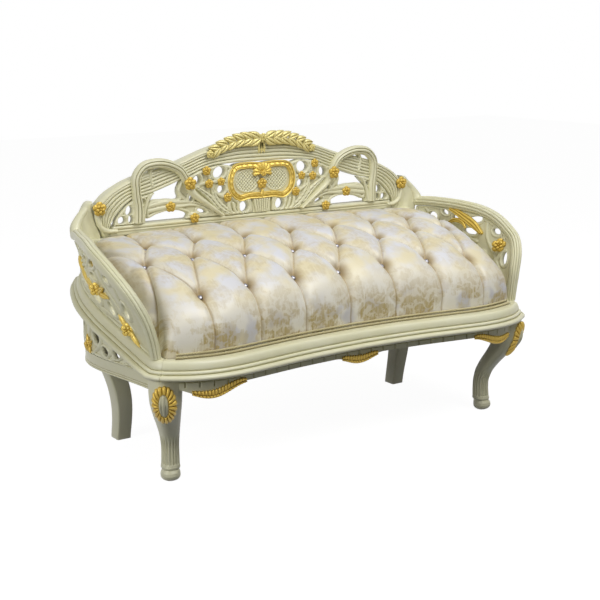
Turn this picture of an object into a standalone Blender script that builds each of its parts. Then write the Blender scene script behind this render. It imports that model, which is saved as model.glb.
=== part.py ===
"""A carved, gilded bench with a deep-buttoned seat, each wooden, gilded and padded piece its own solid.

Metres, +Z up, +Y to the back, +X to the right as seen from the front.
The origin is on the floor under the middle of the bench.
"""

import math

import bmesh
import bpy
import numpy as np
from mathutils import Vector
from mathutils.geometry import delaunay_2d_cdt

for item in list(bpy.data.objects):
    bpy.data.objects.remove(item, do_unlink=True)

# Driving sizes
GAP = 0.0005
FRONT_FOOT = (0.496, -0.123)
REAR_FOOT = (0.459, 0.2225)
APRON_LOW = 0.2495
APRON_SIDE_LOW = 0.237
RAIL_LOW = 0.2715
RAIL_TOP = 0.315
RAIL_INNER = -0.045
CORNER_EASE = 0.017
REAR_RISE = 0.155
RISE_FROM = -0.180
RISE_SPAN = 0.420
RISE_POWER = 1.1
RAIL_LIP = 0.010
DECK_DROP = 0.015
DECK_THICK = 0.012
CUSHION_BACK = 0.240
CUSHION_TOP = 0.549
CUSHION_SIDE_DROP = 0.036
BACK_FACE = 0.2445
BACK_REAR = 0.2808
PANEL_REAR = 0.268
BOTTOM_RAIL = (0.5305, 0.5575)
LOOP_FRONT = 0.2275
INFILL_THICK = 0.016
ARM_FLOWER = 0.019

# Plan of the seat rail's upper groove, from the middle of the front round to the back corner
SEAT_PLAN = [(0, -0.222), (0.10, -0.226), (0.19, -0.233), (0.31, -0.249), (0.385, -0.2575),
             (0.445, -0.254), (0.498, -0.238), (0.532, -0.2175), (0.553, -0.2015), (0.566, -0.176),
             (0.571, -0.148), (0.575, -0.11), (0.585, -0.035), (0.597, 0.055), (0.595, 0.135),
             (0.575, 0.195), (0.545, 0.232)]
PLAN_STEPS = 161

# Centre line of the right arm, from the back post forward and down to the seat rail
ARM_LINE = [(0.5540, BACK_FACE - GAP, 0.5467), (0.5641, 0.205, 0.5501), (0.5788, 0.155, 0.5504),
            (0.5975, 0.078, 0.5473), (0.6108, 0.023, 0.5401), (0.6156, -0.042, 0.5224),
            (0.6119, -0.090, 0.4997), (0.6050, -0.126, 0.4768), (0.5910, -0.150, 0.4454),
            (0.5720, -0.165, 0.401), (0.5585, -0.171, 0.350), (0.553, -0.172, RAIL_TOP)]

# Upper and lower edges of the crest rail, from its middle to where it dies into the back post
CREST_UPPER = [(0, 0.763), (0.09, 0.758), (0.17, 0.739), (0.255, 0.7105), (0.34, 0.690), (0.426, 0.662),
               (0.476, 0.631), (0.498, 0.603), (0.490, 0.566), (0.478, 0.5305)]
CREST_LOWER = [(0, 0.699), (0.09, 0.6985), (0.168, 0.692), (0.245, 0.665), (0.325, 0.638), (0.398, 0.620),
               (0.433, 0.593), (0.450, 0.572), (0.4595, 0.556), (0.4615, 0.5305)]

# Half outline of the cartouche in the middle of the back
CARTOUCHE_STEPS = 21
CARTOUCHE = [(0, 0.6935), (0.048, 0.6965), (0.088, 0.6895), (0.1065, 0.652), (0.099, 0.617),
             (0.070, 0.5955), (0.040, 0.5990), (0, 0.5985)]

# The branch that rises from the bottom rail, loops over the crest and falls to the foot of the spray
LOOP_LINE = [(0.380, 0.5605), (0.379, 0.600), (0.384, 0.645), (0.382, 0.681), (0.362, 0.704),
             (0.330, 0.7115), (0.288, 0.706), (0.254, 0.688), (0.236, 0.660), (0.217, 0.626), (0.180, 0.598),
             (0.128, 0.5605)]

# Gilded rosettes: name, place on the back, radius, and whether it sits on a loop branch
ROSETTES = [("end", 0.489, 0.606, 0.0185, False), ("branch", 0.286, 0.5955, 0.0135, False),
            ("loop", 0.233, 0.654, 0.0165, True), ("crest", 0.175, 0.683, 0.0125, False),
            ("spray", 0.168, 0.648, 0.0125, False), ("stem", 0.111, 0.607, 0.0125, False),
            ("rail", 0.214, 0.560, 0.0135, False)]

SIDES = (("left", -1.0), ("right", 1.0))

bench = bpy.data.objects.new("bench", None)
bpy.context.scene.collection.objects.link(bench)


def finish(name, colour, roughness, metallic=0.0):
    """A Principled material."""
    made = bpy.data.materials.new(name)
    made.use_nodes = True
    shader = made.node_tree.nodes["Principled BSDF"]
    shader.inputs["Base Color"].default_value = (*colour, 1.0)
    shader.inputs["Roughness"].default_value = roughness
    shader.inputs["Metallic"].default_value = metallic
    return made


IVORY = finish("ivory_lacquer", (0.72, 0.69, 0.50), 0.35)
GILT = finish("gold_leaf", (0.52, 0.30, 0.03), 0.38, 0.6)
SATIN = finish("damask_satin", (0.76, 0.69, 0.52), 0.45)
BRAID = finish("braid_trim", (0.40, 0.31, 0.13), 0.75)
BOARD = finish("plain_board", (0.50, 0.37, 0.22), 0.7)


def solid(name, points, faces, look):
    """One closed mesh as a named object, its faces turned outward."""
    mesh = bpy.data.meshes.new(name)
    mesh.from_pydata([tuple(point) for point in points], [], [list(map(int, face)) for face in faces])
    form = bmesh.new()
    form.from_mesh(mesh)
    bmesh.ops.recalc_face_normals(form, faces=form.faces)
    form.to_mesh(mesh)
    form.free()
    mesh.materials.append(look)
    mesh.shade_smooth()
    mesh.set_sharp_from_angle(angle=math.radians(42))
    piece = bpy.data.objects.new(name, mesh)
    piece.parent = bench
    bpy.context.scene.collection.objects.link(piece)
    return piece


def loft(name, rings, look, closed=False):
    """Skin over a row of rings, with flat ends unless the row closes on itself."""
    count, size, _ = rings.shape
    index = np.arange(count * size).reshape(count, size)
    following = np.roll(index, -1, axis=1)
    faces = []
    for here in range(count if closed else count - 1):
        there = (here + 1) % count
        faces += list(zip(index[here], following[here], following[there], index[there]))
    if not closed:
        faces += [index[0], index[-1][::-1]]
    return solid(name, rings.reshape(-1, 3), faces, look)


def along(points, count):
    """Even steps on a rounded curve through the points."""
    knots = np.array(points, float)
    length = np.linalg.norm(np.diff(knots, axis=0), axis=1)
    slope = np.gradient(knots, np.r_[0, np.cumsum(length)], axis=0)
    step = np.linspace(0, 1, 24, endpoint=False)[:, None]
    spans = []
    for start, end, leave, reach, size in zip(knots[:-1], knots[1:], slope[:-1], slope[1:], length):
        spans.append((1 + 2 * step) * (1 - step) ** 2 * start + step * (1 - step) ** 2 * leave * size
                     + step ** 2 * (3 - 2 * step) * end + step ** 2 * (step - 1) * reach * size)
    fine = np.vstack(spans + [knots[-1:]])
    gone = np.r_[0, np.cumsum(np.linalg.norm(np.diff(fine, axis=0), axis=1))]
    return np.column_stack([np.interp(np.linspace(0, gone[-1], count), gone, line) for line in fine.T])


def unit(vectors):
    return vectors / np.linalg.norm(vectors, axis=-1, keepdims=True)


def carried(path, across, up, section):
    """Rings of a section carried along a path: steps across and up, one set for all or one per point."""
    section = np.array(section, float)
    return path[:, None] + section[..., :1] * across[:, None] + section[..., 1:] * up[:, None]


def sweep(name, path, across, up, section, look, closed=False):
    return loft(name, carried(path, across, up, section), look, closed)


def inside(points, loops):
    """True where a point lies within an odd number of the closed loops."""
    x, y = points.T
    odd = np.zeros(len(points), bool)
    for loop in loops:
        for (ax, ay), (bx, by) in zip(loop, np.roll(loop, -1, axis=0)):
            if ay != by:
                odd ^= ((ay > y) != (by > y)) & (x < (bx - ax) * (y - ay) / (by - ay) + ax)
    return odd


def plate(name, outline, holes, place, look):
    """A pierced plate: a flat outline with holes, carried to its two faces by place(u, v, face)."""
    loops = [np.array(loop, float) for loop in [outline] + holes]
    edges = []
    total = 0
    for loop in loops:
        edges += [(total + k, total + (k + 1) % len(loop)) for k in range(len(loop))]
        total += len(loop)
    flat = [Vector(point) for point in np.vstack(loops)]
    corners, _, cells, _, _, _ = delaunay_2d_cdt(flat, edges, [], 0, 1e-7)
    corners = np.array(corners)
    cells = np.array(cells)
    cells = cells[inside(corners[cells].mean(axis=1), loops)]
    sides = np.vstack([cells[:, [0, 1]], cells[:, [1, 2]], cells[:, [2, 0]]])
    known = set(map(tuple, sides))
    rim = [(a, b) for a, b in sides if (b, a) not in known]
    rear = len(corners)
    faces = [tuple(cell) for cell in cells] + [tuple(cell[::-1] + rear) for cell in cells]
    faces += [(b, a, a + rear, b + rear) for a, b in rim]
    points = np.vstack([place(*corners.T, 0), place(*corners.T, 1)])
    used = np.unique(np.concatenate([cells.ravel(), cells.ravel() + rear]))
    renumber = np.full(len(points), -1)
    renumber[used] = np.arange(len(used))
    return solid(name, points[used], [renumber[list(face)] for face in faces], look)


def oval(x, y, wide, high, turn=0.0, count=10):
    """A closed ellipse of half sizes wide and high, turned in degrees."""
    angle = np.linspace(0, 2 * math.pi, count, endpoint=False)
    c, s = math.cos(math.radians(turn)), math.sin(math.radians(turn))
    u, v = wide * np.cos(angle), high * np.sin(angle)
    return np.column_stack([x + c * u - s * v, y + s * u + c * v])


def framed(edge):
    """Outline of a web whose v runs from 0 at its foot to 1 at its top, over the given steps of u."""
    foot = np.column_stack([edge, np.zeros_like(edge)])
    return np.vstack([foot, (foot + [0, 1])[::-1]])


def flat_back(side, front=BACK_FACE, rear=PANEL_REAR):
    """Carries (x, z) of the right half to the back's plane on one side."""
    return lambda x, z, face: np.column_stack([side * x, np.full_like(x, rear if face else front), z])


def rise(y):
    """How far the seat rail has climbed at a depth: nothing in front, most at the back corners."""
    return REAR_RISE * np.clip((y - RISE_FROM) / RISE_SPAN, 0, 1) ** RISE_POWER


half_plan = along(SEAT_PLAN, PLAN_STEPS)
PLAN = np.vstack([half_plan[:0:-1] * [-1, 1], half_plan])
PLAN_TANGENT = unit(np.gradient(PLAN, axis=0))
PLAN_OUT = np.column_stack([PLAN_TANGENT[:, 1], -PLAN_TANGENT[:, 0]])
MIDDLE = PLAN_STEPS - 1
CORNER = int(np.argmax(half_plan[:, 0] - half_plan[:, 1]))


def rail_inner(at):
    """Inner edge of the seat rail as a step out from the groove, drawn nearer to it round the corners."""
    return RAIL_INNER + CORNER_EASE * np.exp(-((np.abs(at) - CORNER) / 9) ** 2)


def plan_run(at):
    """Path, outward and upward directions along the seat's plan, at steps counted from the middle."""
    count = len(at)
    steps = np.arange(len(PLAN)) - MIDDLE
    spot = np.column_stack([np.interp(at, steps, line) for line in PLAN.T])
    out = unit(np.column_stack([np.interp(at, steps, line) for line in PLAN_OUT.T]))
    path = np.column_stack([spot, np.zeros(count)])
    return path, np.column_stack([out, np.zeros(count)]), np.tile([0, 0, 1.0], (count, 1))


def climbing(name, at, section, look):
    """A section carried along the seat's plan that climbs with the seat rail toward the back."""
    rings = carried(*plan_run(at), section)
    rings[..., 2] += rise(rings[..., 1])
    return loft(name, rings, look)


def step_at(value, axis):
    """The step from the middle where the right half reaches an x before the corner or a y past it."""
    part = half_plan[:CORNER] if axis == 0 else half_plan[CORNER:]
    start = 0 if axis == 0 else CORNER
    return start + np.interp(value, part[:, axis], np.arange(len(part)))


def rosette(name, centre, along_face, up_face, facing, radius, off=2 * GAP):
    """Gilded flower with lobed petals and a raised eye, just off a face that two directions span."""
    petals = 5
    first = unit(np.array(along_face, float))
    normal = unit(np.cross(first, np.array(up_face, float)))
    normal *= np.sign(normal @ np.array(facing, float))
    second = np.cross(normal, first)
    angle = np.linspace(0, 2 * math.pi, 2 * petals, endpoint=False)
    lobes = 1 + 0.10 * np.cos(petals * angle)
    rings = []
    for size, height, wave in ((1.0, 0, 1), (0.88, 0.0075, 1), (0.42, 0.006, 0), (0.26, 0.0100, 0)):
        reach = (radius * size * (lobes if wave else np.ones_like(lobes)))[:, None]
        ring = reach * (np.cos(angle)[:, None] * first + np.sin(angle)[:, None] * second)
        rings.append(np.array(centre) + normal * (height + off) + ring)
    loft(name, np.array(rings), GILT)


# Legs
def superellipse(power, turn, count=12):
    angle = np.linspace(0, 2 * math.pi, count, endpoint=False) + turn
    c, s = np.cos(angle), np.sin(angle)
    size = (np.abs(c) ** power + np.abs(s) ** power) ** (-1 / power)
    return np.column_stack([size * c, size * s])


# Height, shift out along the diagonal, half width, squareness
FRONT_LEG = [(0.0, 0.004, 0.0145, 2.2), (0.005, 0.005, 0.0205, 2.2), (0.013, 0.006, 0.0236, 2.2),
             (0.021, 0.005, 0.0226, 2.2), (0.0265, 0.003, 0.0196, 2.4), (0.031, 0.002, 0.0222, 2.6),
             (0.038, 0.001, 0.0215, 2.6), (0.085, 0.0, 0.0205, 2.6), (0.114, 0.008, 0.0225, 2.6),
             (0.140, 0.0235, 0.0258, 2.6), (0.166, 0.043, 0.0292, 2.7), (0.188, 0.0585, 0.0318, 2.9),
             (0.212, 0.069, 0.0340, 3.2), (0.240, 0.0705, 0.0345, 3.6), (RAIL_LOW - GAP, 0.066, 0.0340, 4.0)]
DIAGONAL = (0.568, -0.823)


def front_leg(label, side):
    shape = [superellipse(power, math.radians(15)) for _, _, _, power in FRONT_LEG]
    rings = []
    for (height, shift, half, _), ring in zip(FRONT_LEG, shape):
        x = FRONT_FOOT[0] + DIAGONAL[0] * shift + half * ring[:, 0]
        y = FRONT_FOOT[1] + DIAGONAL[1] * shift + half * ring[:, 1]
        rings.append(np.column_stack([side * x, y, np.full(len(x), height)]))
    loft(f"front_leg_{label}", np.array(rings), IVORY)


# Height, centre x, centre y, half width, half depth of the sabre leg and the stile above it
REAR_LEG = [(0.0, REAR_FOOT[0], REAR_FOOT[1], 0.0195, 0.0205), (0.05, 0.458, 0.2120, 0.0200, 0.0210),
            (0.10, 0.461, 0.2050, 0.0215, 0.0230), (0.15, 0.468, 0.2070, 0.0230, 0.0245),
            (0.20, 0.483, 0.2190, 0.0240, 0.0250), (0.236, 0.4950, 0.2330, 0.0200, 0.0240),
            (0.30, 0.4975, 0.2475, 0.0225, 0.0225), (0.5295, 0.4975, 0.2475, 0.0225, 0.0225)]


def rear_leg(label, side):
    flat, bevel = 1.0, 0.74
    ring = np.array([(flat, -bevel), (flat, bevel), (bevel, flat), (-bevel, flat),
                     (-flat, bevel), (-flat, -bevel), (-bevel, -flat), (bevel, -flat)])
    rings = []
    for height, x, y, half, deep in REAR_LEG:
        across = side * (x + half * ring[:, 0])
        rings.append(np.column_stack([across, y + deep * ring[:, 1], np.full(8, height)]))
    loft(f"rear_leg_{label}", np.array(rings), IVORY)


# Moulded seat rail: steps out from the upper groove, and height
LIP_TOP = RAIL_TOP - DECK_DROP - DECK_THICK - 3 * GAP
RAIL_SECTION = [(-RAIL_LIP, RAIL_LOW), (-RAIL_LIP, LIP_TOP), (0, LIP_TOP), (0, RAIL_TOP),
                (-0.006, RAIL_TOP - 0.001), (-0.001, 0.3065), (0.001, 0.3015), (0.0075, 0.2995),
                (0.0110, 0.2945), (0.0110, 0.2915), (0.0175, 0.2890), (0.0200, 0.2825), (0.0175, 0.2755),
                (0.0090, RAIL_LOW)]


def rail_section(at):
    section = np.tile(RAIL_SECTION, (len(at), 1, 1))
    section[:, :4, 0] += rail_inner(at)[:, None]
    return section


def seat_rails():
    seam = 0.05
    front = np.linspace(-CORNER + seam, CORNER - seam, 35)
    climbing("front_seat_rail", front, rail_section(front), IVORY)
    for label, side in SIDES:
        at = side * np.linspace(CORNER + seam, PLAN_STEPS - 1, 23)
        climbing(f"side_seat_rail_{label}", at, rail_section(at), IVORY)


# Aprons under the rail
APRON_OUT = -0.012
APRON_IN = -0.034
DROP_SPAN = (0.350, 0.550)
DROP_DEEP = 0.0245
CENTRE_DROP = (0.075, 0.017)


def bump(x, low, high):
    """A smooth hump that is 1 half way between low and high and 0 beyond them."""
    return np.sin(math.pi * np.clip((x - low) / (high - low), 0, 1)) ** 2


def apron_edge(x):
    """The front apron's lower edge dips under each side drop and under the one in the middle."""
    side = DROP_DEEP * bump(np.abs(x), *DROP_SPAN)
    return APRON_LOW - side - CENTRE_DROP[1] * bump(x, -CENTRE_DROP[0], CENTRE_DROP[0])


def aprons():
    end = step_at(0.4985, 0)
    path, out, up = plan_run(np.linspace(-end, end, 53))
    section = np.empty((len(path), 4, 2))
    section[:, :, 0] = (APRON_IN, APRON_IN, APRON_OUT, APRON_OUT)
    section[:, :, 1] = RAIL_LOW - GAP
    section[:, [0, 3], 1] = apron_edge(path[:, 0])[:, None]
    sweep("front_apron", path, out, up, section, IVORY)
    low, high = step_at(-0.1435, 1), step_at(0.200, 1)
    under = RAIL_LOW - GAP
    band = [(APRON_IN, APRON_SIDE_LOW), (APRON_IN, under), (APRON_OUT, under), (APRON_OUT, APRON_SIDE_LOW)]
    for label, side in SIDES:
        run = plan_run(side * np.linspace(low, high, 17))
        sweep(f"side_apron_{label}", *run, band, IVORY)


def apron_drop(label, low, high):
    """Gilded scallop hung on the apron's lower edge."""
    ends = np.sign(low) * step_at(abs(low), 0), np.sign(high) * step_at(abs(high), 0)
    path, out, up = plan_run(np.linspace(*ends, 17))
    edge = apron_edge(path[:, 0])
    tall = 0.010 + 0.008 * np.abs(np.sin(np.linspace(0, 8 * math.pi, len(edge))))
    section = np.empty((len(path), 4, 2))
    section[:, :, 0] = APRON_OUT + np.array([GAP, GAP, 0.008, 0.008])
    section[:, 0, 1] = edge - 0.004
    section[:, 1, 1] = edge + tall
    section[:, 2, 1] = edge + 0.6 * tall
    section[:, 3, 1] = edge - 0.002
    sweep(f"apron_drop_{label}", path, out, up, section, GILT)


def knee_ornament(label, side):
    """Gilded oval leaf that wraps the outer corner of the front leg's knee."""
    heights = np.array([row[0] for row in FRONT_LEG[9:]])
    shift = np.array([row[1] for row in FRONT_LEG[9:]])
    half = np.array([row[2] for row in FRONT_LEG[9:]])
    power = np.array([row[3] for row in FRONT_LEG[9:]])
    facing = math.atan2(DIAGONAL[1], DIAGONAL[0])
    z = np.linspace(0.160, 0.262, 9)
    spread = 0.88 * np.sqrt(np.clip(1 - ((z - 0.211) / 0.0525) ** 2, 0.02, 1))
    rings = []
    for height, wide in zip(z, spread):
        angle = facing + wide * np.linspace(-1, 1, 9)
        c, s, p = np.cos(angle), np.sin(angle), np.interp(height, heights, power)
        size = np.interp(height, heights, half) * (np.abs(c) ** p + np.abs(s) ** p) ** (-1 / p)
        at = np.interp(height, heights, shift)
        lift = 0.0035 + 0.0065 * np.cos(np.linspace(-1, 1, 9) * math.pi / 2) ** 0.5
        centre = np.array([FRONT_FOOT[0] + DIAGONAL[0] * at, FRONT_FOOT[1] + DIAGONAL[1] * at])
        outer = centre + np.column_stack([c, s]) * (size + lift)[:, None]
        inner = centre + np.column_stack([c, s]) * (size + 0.0020)[:, None]
        ring = np.vstack([outer, inner[::-1]])
        rings.append(np.column_stack([side * ring[:, 0], ring[:, 1], np.full(len(ring), height)]))
    loft(f"knee_ornament_{label}", np.array(rings), GILT)


# Seat
SEAT_GRID = (45, 21)
SEAT_BUNCH = 1.15


def seat_plan(wide, deep):
    """Front and right edges of the space between the rails, as points that crowd a little to the front."""
    at = np.linspace(0, PLAN_STEPS - 1, 200)
    path, out, _ = plan_run(at)
    edge = (path + out * (rail_inner(at) - 0.0015)[:, None])[:, :2]
    turn = int(np.argmax(edge[:, 0] - edge[:, 1]))
    front = along(np.vstack([edge[turn:0:-1] * [-1, 1], edge[:turn + 1]]), wide)
    side = edge[turn:][edge[turn:][:, 1] < 0.15]
    corner = [(0.505, 0.194), (0.473, CUSHION_BACK - 0.022), (0.470, CUSHION_BACK)]
    side = along(np.vstack([side[::4], corner]), deep)
    even = np.linspace(0, 1, deep)
    return front, np.column_stack([np.interp(even ** SEAT_BUNCH, even, line) for line in side.T])


def row_faces(ring, wide, deep):
    """Faces over a loop of front, right, back and left points, as bands from side to side."""
    behind = 2
    right = ring[wide - 1:wide + deep - 1]
    left = np.r_[ring[0], ring[:1 - deep:-1], ring[2 * wide + deep - 3]]
    faces = [np.r_[ring[:wide], right[1:behind + 1], left[behind:0:-1]]]
    faces += [(left[row], right[row], right[row + 1], left[row + 1]) for row in range(behind, deep - 2)]
    return faces + [np.r_[left[deep - 2], ring[wide + deep - 3:2 * wide + deep - 2]]]


def seat_deck():
    """Board between the rails, on their inner lip, that carries the cushion and climbs with the seat."""
    wide, deep = SEAT_GRID
    front, side = seat_plan(wide, deep)
    back = np.column_stack([np.linspace(side[-1, 0], -side[-1, 0], wide), np.full(wide, CUSHION_BACK)])
    loop = np.vstack([front, side[1:-1], back, (side * [-1, 1])[-2:0:-1]])
    count = len(loop)
    top = np.column_stack([loop, RAIL_TOP - DECK_DROP + rise(loop[:, 1])])
    ring = np.arange(count)
    faces = row_faces(ring, wide, deep)
    faces += [np.array(face)[::-1] + count for face in faces]
    faces += list(zip(ring, np.roll(ring, -1), np.roll(ring, -1) + count, ring + count))
    solid("seat_deck", np.vstack([top, top - [0, 0, DECK_THICK]]), faces, BOARD)


# Buttons: x of each column's place in the lattice, y of the three rows, and how far the surface draws in
TUFT_X = [0, 0.146, 0.290, 0.410, 0.530]
TUFT_COLUMN = [0, 1, 2, 3, 4.1]
TUFT_Y = [-0.140, 0.0, 0.120]
TUFT_DEEP = 0.017
PLEAT_DEEP = 0.008
PUFF = 0.006


def tufting(x, y):
    """Depth of the buttoned surface: pits at the buttons, pleats between them, straight past the rows."""
    column = np.sign(x) * np.interp(np.abs(x), TUFT_X, TUFT_COLUMN)
    row = np.interp(y, TUFT_Y, [0, 1, 2])
    beyond = np.maximum(np.maximum(TUFT_Y[0] - y, y - TUFT_Y[-1]), 0) / 0.025
    near_a = np.abs(column + row / 2 - np.round(column + row / 2))
    near_b = np.abs(column - row / 2 - np.round(column - row / 2))
    pleat = np.exp(-(np.minimum(near_a, near_b) / 0.085) ** 2)
    pit = np.exp(-(near_a ** 2 + near_b ** 2) / 0.12 ** 2 - beyond ** 2)
    body = PUFF * np.sin(math.pi * near_a) * np.sin(math.pi * near_b)
    return body - PLEAT_DEEP * pleat - TUFT_DEEP * pit


def seat_cushion():
    """Domed, buttoned cushion: low along the front, high against the back, drawn in at its sides."""
    wide, deep = SEAT_GRID
    front, side = seat_plan(wide, deep)
    u = np.linspace(0, 1, wide)[None, :, None]
    v = np.linspace(0, 1, deep)[:, None, None] ** SEAT_BUNCH
    back = np.column_stack([np.linspace(-side[-1, 0], side[-1, 0], wide), np.full(wide, CUSHION_BACK)])
    left = (side * [-1, 1])[:, None]
    right = side[:, None]
    corners = (1 - v) * ((1 - u) * left[:1] + u * right[:1]) + v * ((1 - u) * left[-1:] + u * right[-1:])
    plan = (1 - v) * front[None] + v * back[None] + (1 - u) * left + u * right - corners
    x, y = plan[..., 0], plan[..., 1]
    across = np.abs(2 * u[..., 0] - 1)
    v = v[..., 0]
    steep = (1 - (1 - v) ** 2.1) ** 0.34
    gentle = (1 - (1 - v) ** 1.5) ** 0.6
    dome = steep + (gentle - steep) * across ** 4
    rim = RAIL_TOP + 0.003 + rise(y)
    crown = RAIL_TOP + (CUSHION_TOP - CUSHION_SIDE_DROP * across ** 2 - RAIL_TOP) * dome
    fall = np.sqrt(np.clip(1 - across ** 9, 0, 1))
    fade = fall * np.clip(dome * 3, 0, 1) * np.clip((1 - v) / 0.08, 0.25, 1)
    top = rim + np.maximum(crown - rim, 0) * fall + tufting(x, y) * fade
    top = np.maximum(top, rim)
    low = RAIL_TOP - DECK_DROP + 0.0015 + rise(y)
    upper = np.dstack([x, y, top]).reshape(-1, 3)
    index = np.arange(deep * wide).reshape(deep, wide)
    faces = []
    for row in range(deep - 1):
        here, there = index[row], index[row + 1]
        faces += list(zip(here[:-1], here[1:], there[1:], there[:-1]))
    loop = np.concatenate([index[0], index[1:, -1], index[-1, -2::-1], index[-2:0:-1, 0]])
    under = np.column_stack([upper[loop][:, :2], low.reshape(-1)[loop]])
    base = deep * wide
    ring = base + np.arange(len(loop))
    faces += list(zip(loop, np.roll(loop, -1), np.roll(ring, -1), ring))
    faces += [np.array(face)[::-1] for face in row_faces(ring, wide, deep)]
    solid("seat_cushion", np.vstack([upper, under]), faces, SATIN)


def seat_braid():
    """Double-cord braid laid on the rail where the cover ends, from arm to arm."""
    end = step_at(0.530, 0)
    at = np.linspace(-end, end, 35)
    top = RAIL_TOP + GAP
    section = np.tile([(0.001, top), (0.0005, top + 0.005), (0.004, top + 0.006), (0.007, top + 0.003),
                       (0.010, top + 0.006), (0.0135, top + 0.005), (0.013, top)], (len(at), 1, 1))
    section[..., 0] += rail_inner(at)[:, None]
    climbing("seat_braid", at, section, BRAID)


def corner_block(label, side):
    """Glued brace across the front corner, behind the leg."""
    outline = [(0.388, -0.205), (0.415, -0.205), (0.5435, -0.066), (0.5435, -0.041)]
    low, high = APRON_LOW + 0.004, RAIL_LOW - 0.002

    def place(x, y, face):
        return np.column_stack([side * x, y, np.full_like(x, high if face else low)])

    plate(f"corner_block_{label}", outline, [], place, BOARD)


def rear_seat_rail():
    """Tall plain board between the rear legs, with a shallow arch in its lower edge."""
    x = np.linspace(0.4745, -0.4745, 13)
    lower = np.column_stack([x, APRON_SIDE_LOW + 0.022 * (1 - (x / 0.4745) ** 2)])
    outline = np.vstack([[(-0.4745, 0.5295), (0.4745, 0.5295)], lower])

    def place(u, v, face):
        return np.column_stack([u, np.full_like(u, 0.2480 + 0.022 * face), v])

    plate("rear_seat_rail", outline, [], place, IVORY)


# Arms
ARM_SECTION = [(-0.0130, -0.0125), (-0.0146, 0.0050), (-0.0136, 0.0105), (-0.0110, 0.0122),
               (-0.0092, 0.0097), (-0.0073, 0.0134), (-0.0044, 0.0134), (-0.0026, 0.0109), (-0.0007, 0.0143),
               (0.0066, 0.0139), (0.0125, 0.0097), (0.0148, 0.0017), (0.0132, -0.0084), (0.0073, -0.0143)]


def arm_frame(side, count):
    path = along(ARM_LINE, count) * [side, 1, 1]
    tangent = unit(np.gradient(path, axis=0))
    tangent[0] = (0, -1, 0)
    tangent[-1] = (0, 0, -1)
    out = np.tile([side, 0, 0.0], (count, 1))
    out = unit(out - tangent * (out * tangent).sum(axis=1, keepdims=True))
    up = unit(np.cross(out, tangent)) * side
    up[up[:, 2] - up[:, 1] < 0] *= -1
    return path, out, up


def arm_rail(label, side):
    path, out, up = arm_frame(side, 22)
    slim = np.interp(np.linspace(0, 1, len(path)), [0, 0.55, 1], [1, 1, 0.74])
    rings = carried(path, out, up, np.array(ARM_SECTION)[None] * slim[:, None, None])
    rings[-1, :, 2] = RAIL_TOP + 2 * GAP + rise(rings[-1, :, 1])
    loft(f"arm_rail_{label}", rings, IVORY)


def arm_infill(label, side):
    """Pierced, carved web between the arm and the seat rail."""
    path, out, up = arm_frame(1, 120)
    under = path - up * 0.0150
    order = np.argsort(under[:, 1])
    span = under[order]
    rail, outward, _ = plan_run(np.linspace(CORNER, PLAN_STEPS - 1, 120))
    foot = rail + outward * -0.015
    low, high = -0.152, 0.240

    def place(u, v, face):
        top = np.column_stack([np.interp(u, span[:, 1], line) for line in span.T])
        base = np.column_stack([np.interp(u, foot[:, 1], line) for line in foot.T])
        base[:, 2] = RAIL_TOP + GAP + rise(u)
        spot = base + (top - base) * v[:, None]
        spot[:, 0] = (spot[:, 0] + INFILL_THICK * (face - 0.5)) * side
        spot[:, 1] = u
        return spot

    edge_u = np.linspace(low, high, 19)
    outline = framed(edge_u)
    holes = [oval(0.180, 0.70, 0.014, 0.12), oval(0.138, 0.87, 0.012, 0.060),
             oval(0.100, 0.76, 0.012, 0.075), oval(0.040, 0.88, 0.030, 0.055),
             oval(0.044, 0.60, 0.022, 0.070), oval(-0.050, 0.905, 0.015, 0.040),
             oval(-0.109, 0.60, 0.009, 0.10), oval(-0.026, 0.30, 0.014, 0.09),
             oval(0.112, 0.38, 0.020, 0.13), oval(0.192, 0.30, 0.011, 0.11), oval(0.046, 0.27, 0.020, 0.10)]
    plate(f"arm_infill_{label}", outline, holes, place, IVORY)
    near = ((-0.076, 0.735), (-0.066, 0.735), (-0.076, 0.795))
    spot, ahead, above = (place(np.array([u]), np.array([v]), 0)[0] for u, v in near)
    rosette(f"arm_flower_{label}", spot, ahead - spot, above - spot, (-side, 0, 0), ARM_FLOWER, 0.0055)


def side_carving(label, side):
    """Pierced wedge between the level side apron and the seat rail that climbs to the back."""
    rail, outward, _ = plan_run(np.linspace(CORNER, PLAN_STEPS - 1, 120))
    foot = rail + outward * -0.016
    low, high = -0.075, 0.196

    def place(u, v, face):
        base = np.column_stack([np.interp(u, foot[:, 1], line) for line in foot.T])
        tall = rise(u) - 0.0012
        x = side * (base[:, 0] + INFILL_THICK * (face - 0.5))
        return np.column_stack([x, u, RAIL_LOW + GAP + tall * v])

    edge_u = np.linspace(low, high, 13)
    outline = framed(edge_u)
    holes = [oval(0.158, 0.50, 0.014, 0.18), oval(0.072, 0.55, 0.018, 0.16), oval(0.030, 0.28, 0.012, 0.13),
             oval(-0.015, 0.42, 0.013, 0.18)]
    plate(f"side_carving_{label}", outline, holes, place, IVORY)


# Back
def mirrored(half):
    """A half line from the middle outward, made whole from left to right."""
    return np.vstack([half[:0:-1] * [-1, 1], half])


def crest_rail():
    """Reeded top rail, a band between two edges that sweeps down into the posts."""
    count, reeds = 20, 5
    upper = mirrored(along(CREST_UPPER, count))
    lower = mirrored(along(CREST_LOWER, count))
    cut = np.linspace(0, 1, 2 * reeds + 1)
    front = np.where(np.arange(len(cut)) % 2, 0, 0.0030)
    section = np.vstack([np.column_stack([cut, BACK_FACE + front]), [(1, BACK_REAR), (0, BACK_REAR)]])
    ends = lower[:, None] + section[None, :, :1] * (upper - lower)[:, None]
    depth = np.broadcast_to(section[None, :, 1:], (*ends.shape[:2], 1))
    loft("crest_rail", np.concatenate([ends[..., :1], depth, ends[..., 1:]], axis=2), IVORY)


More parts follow.
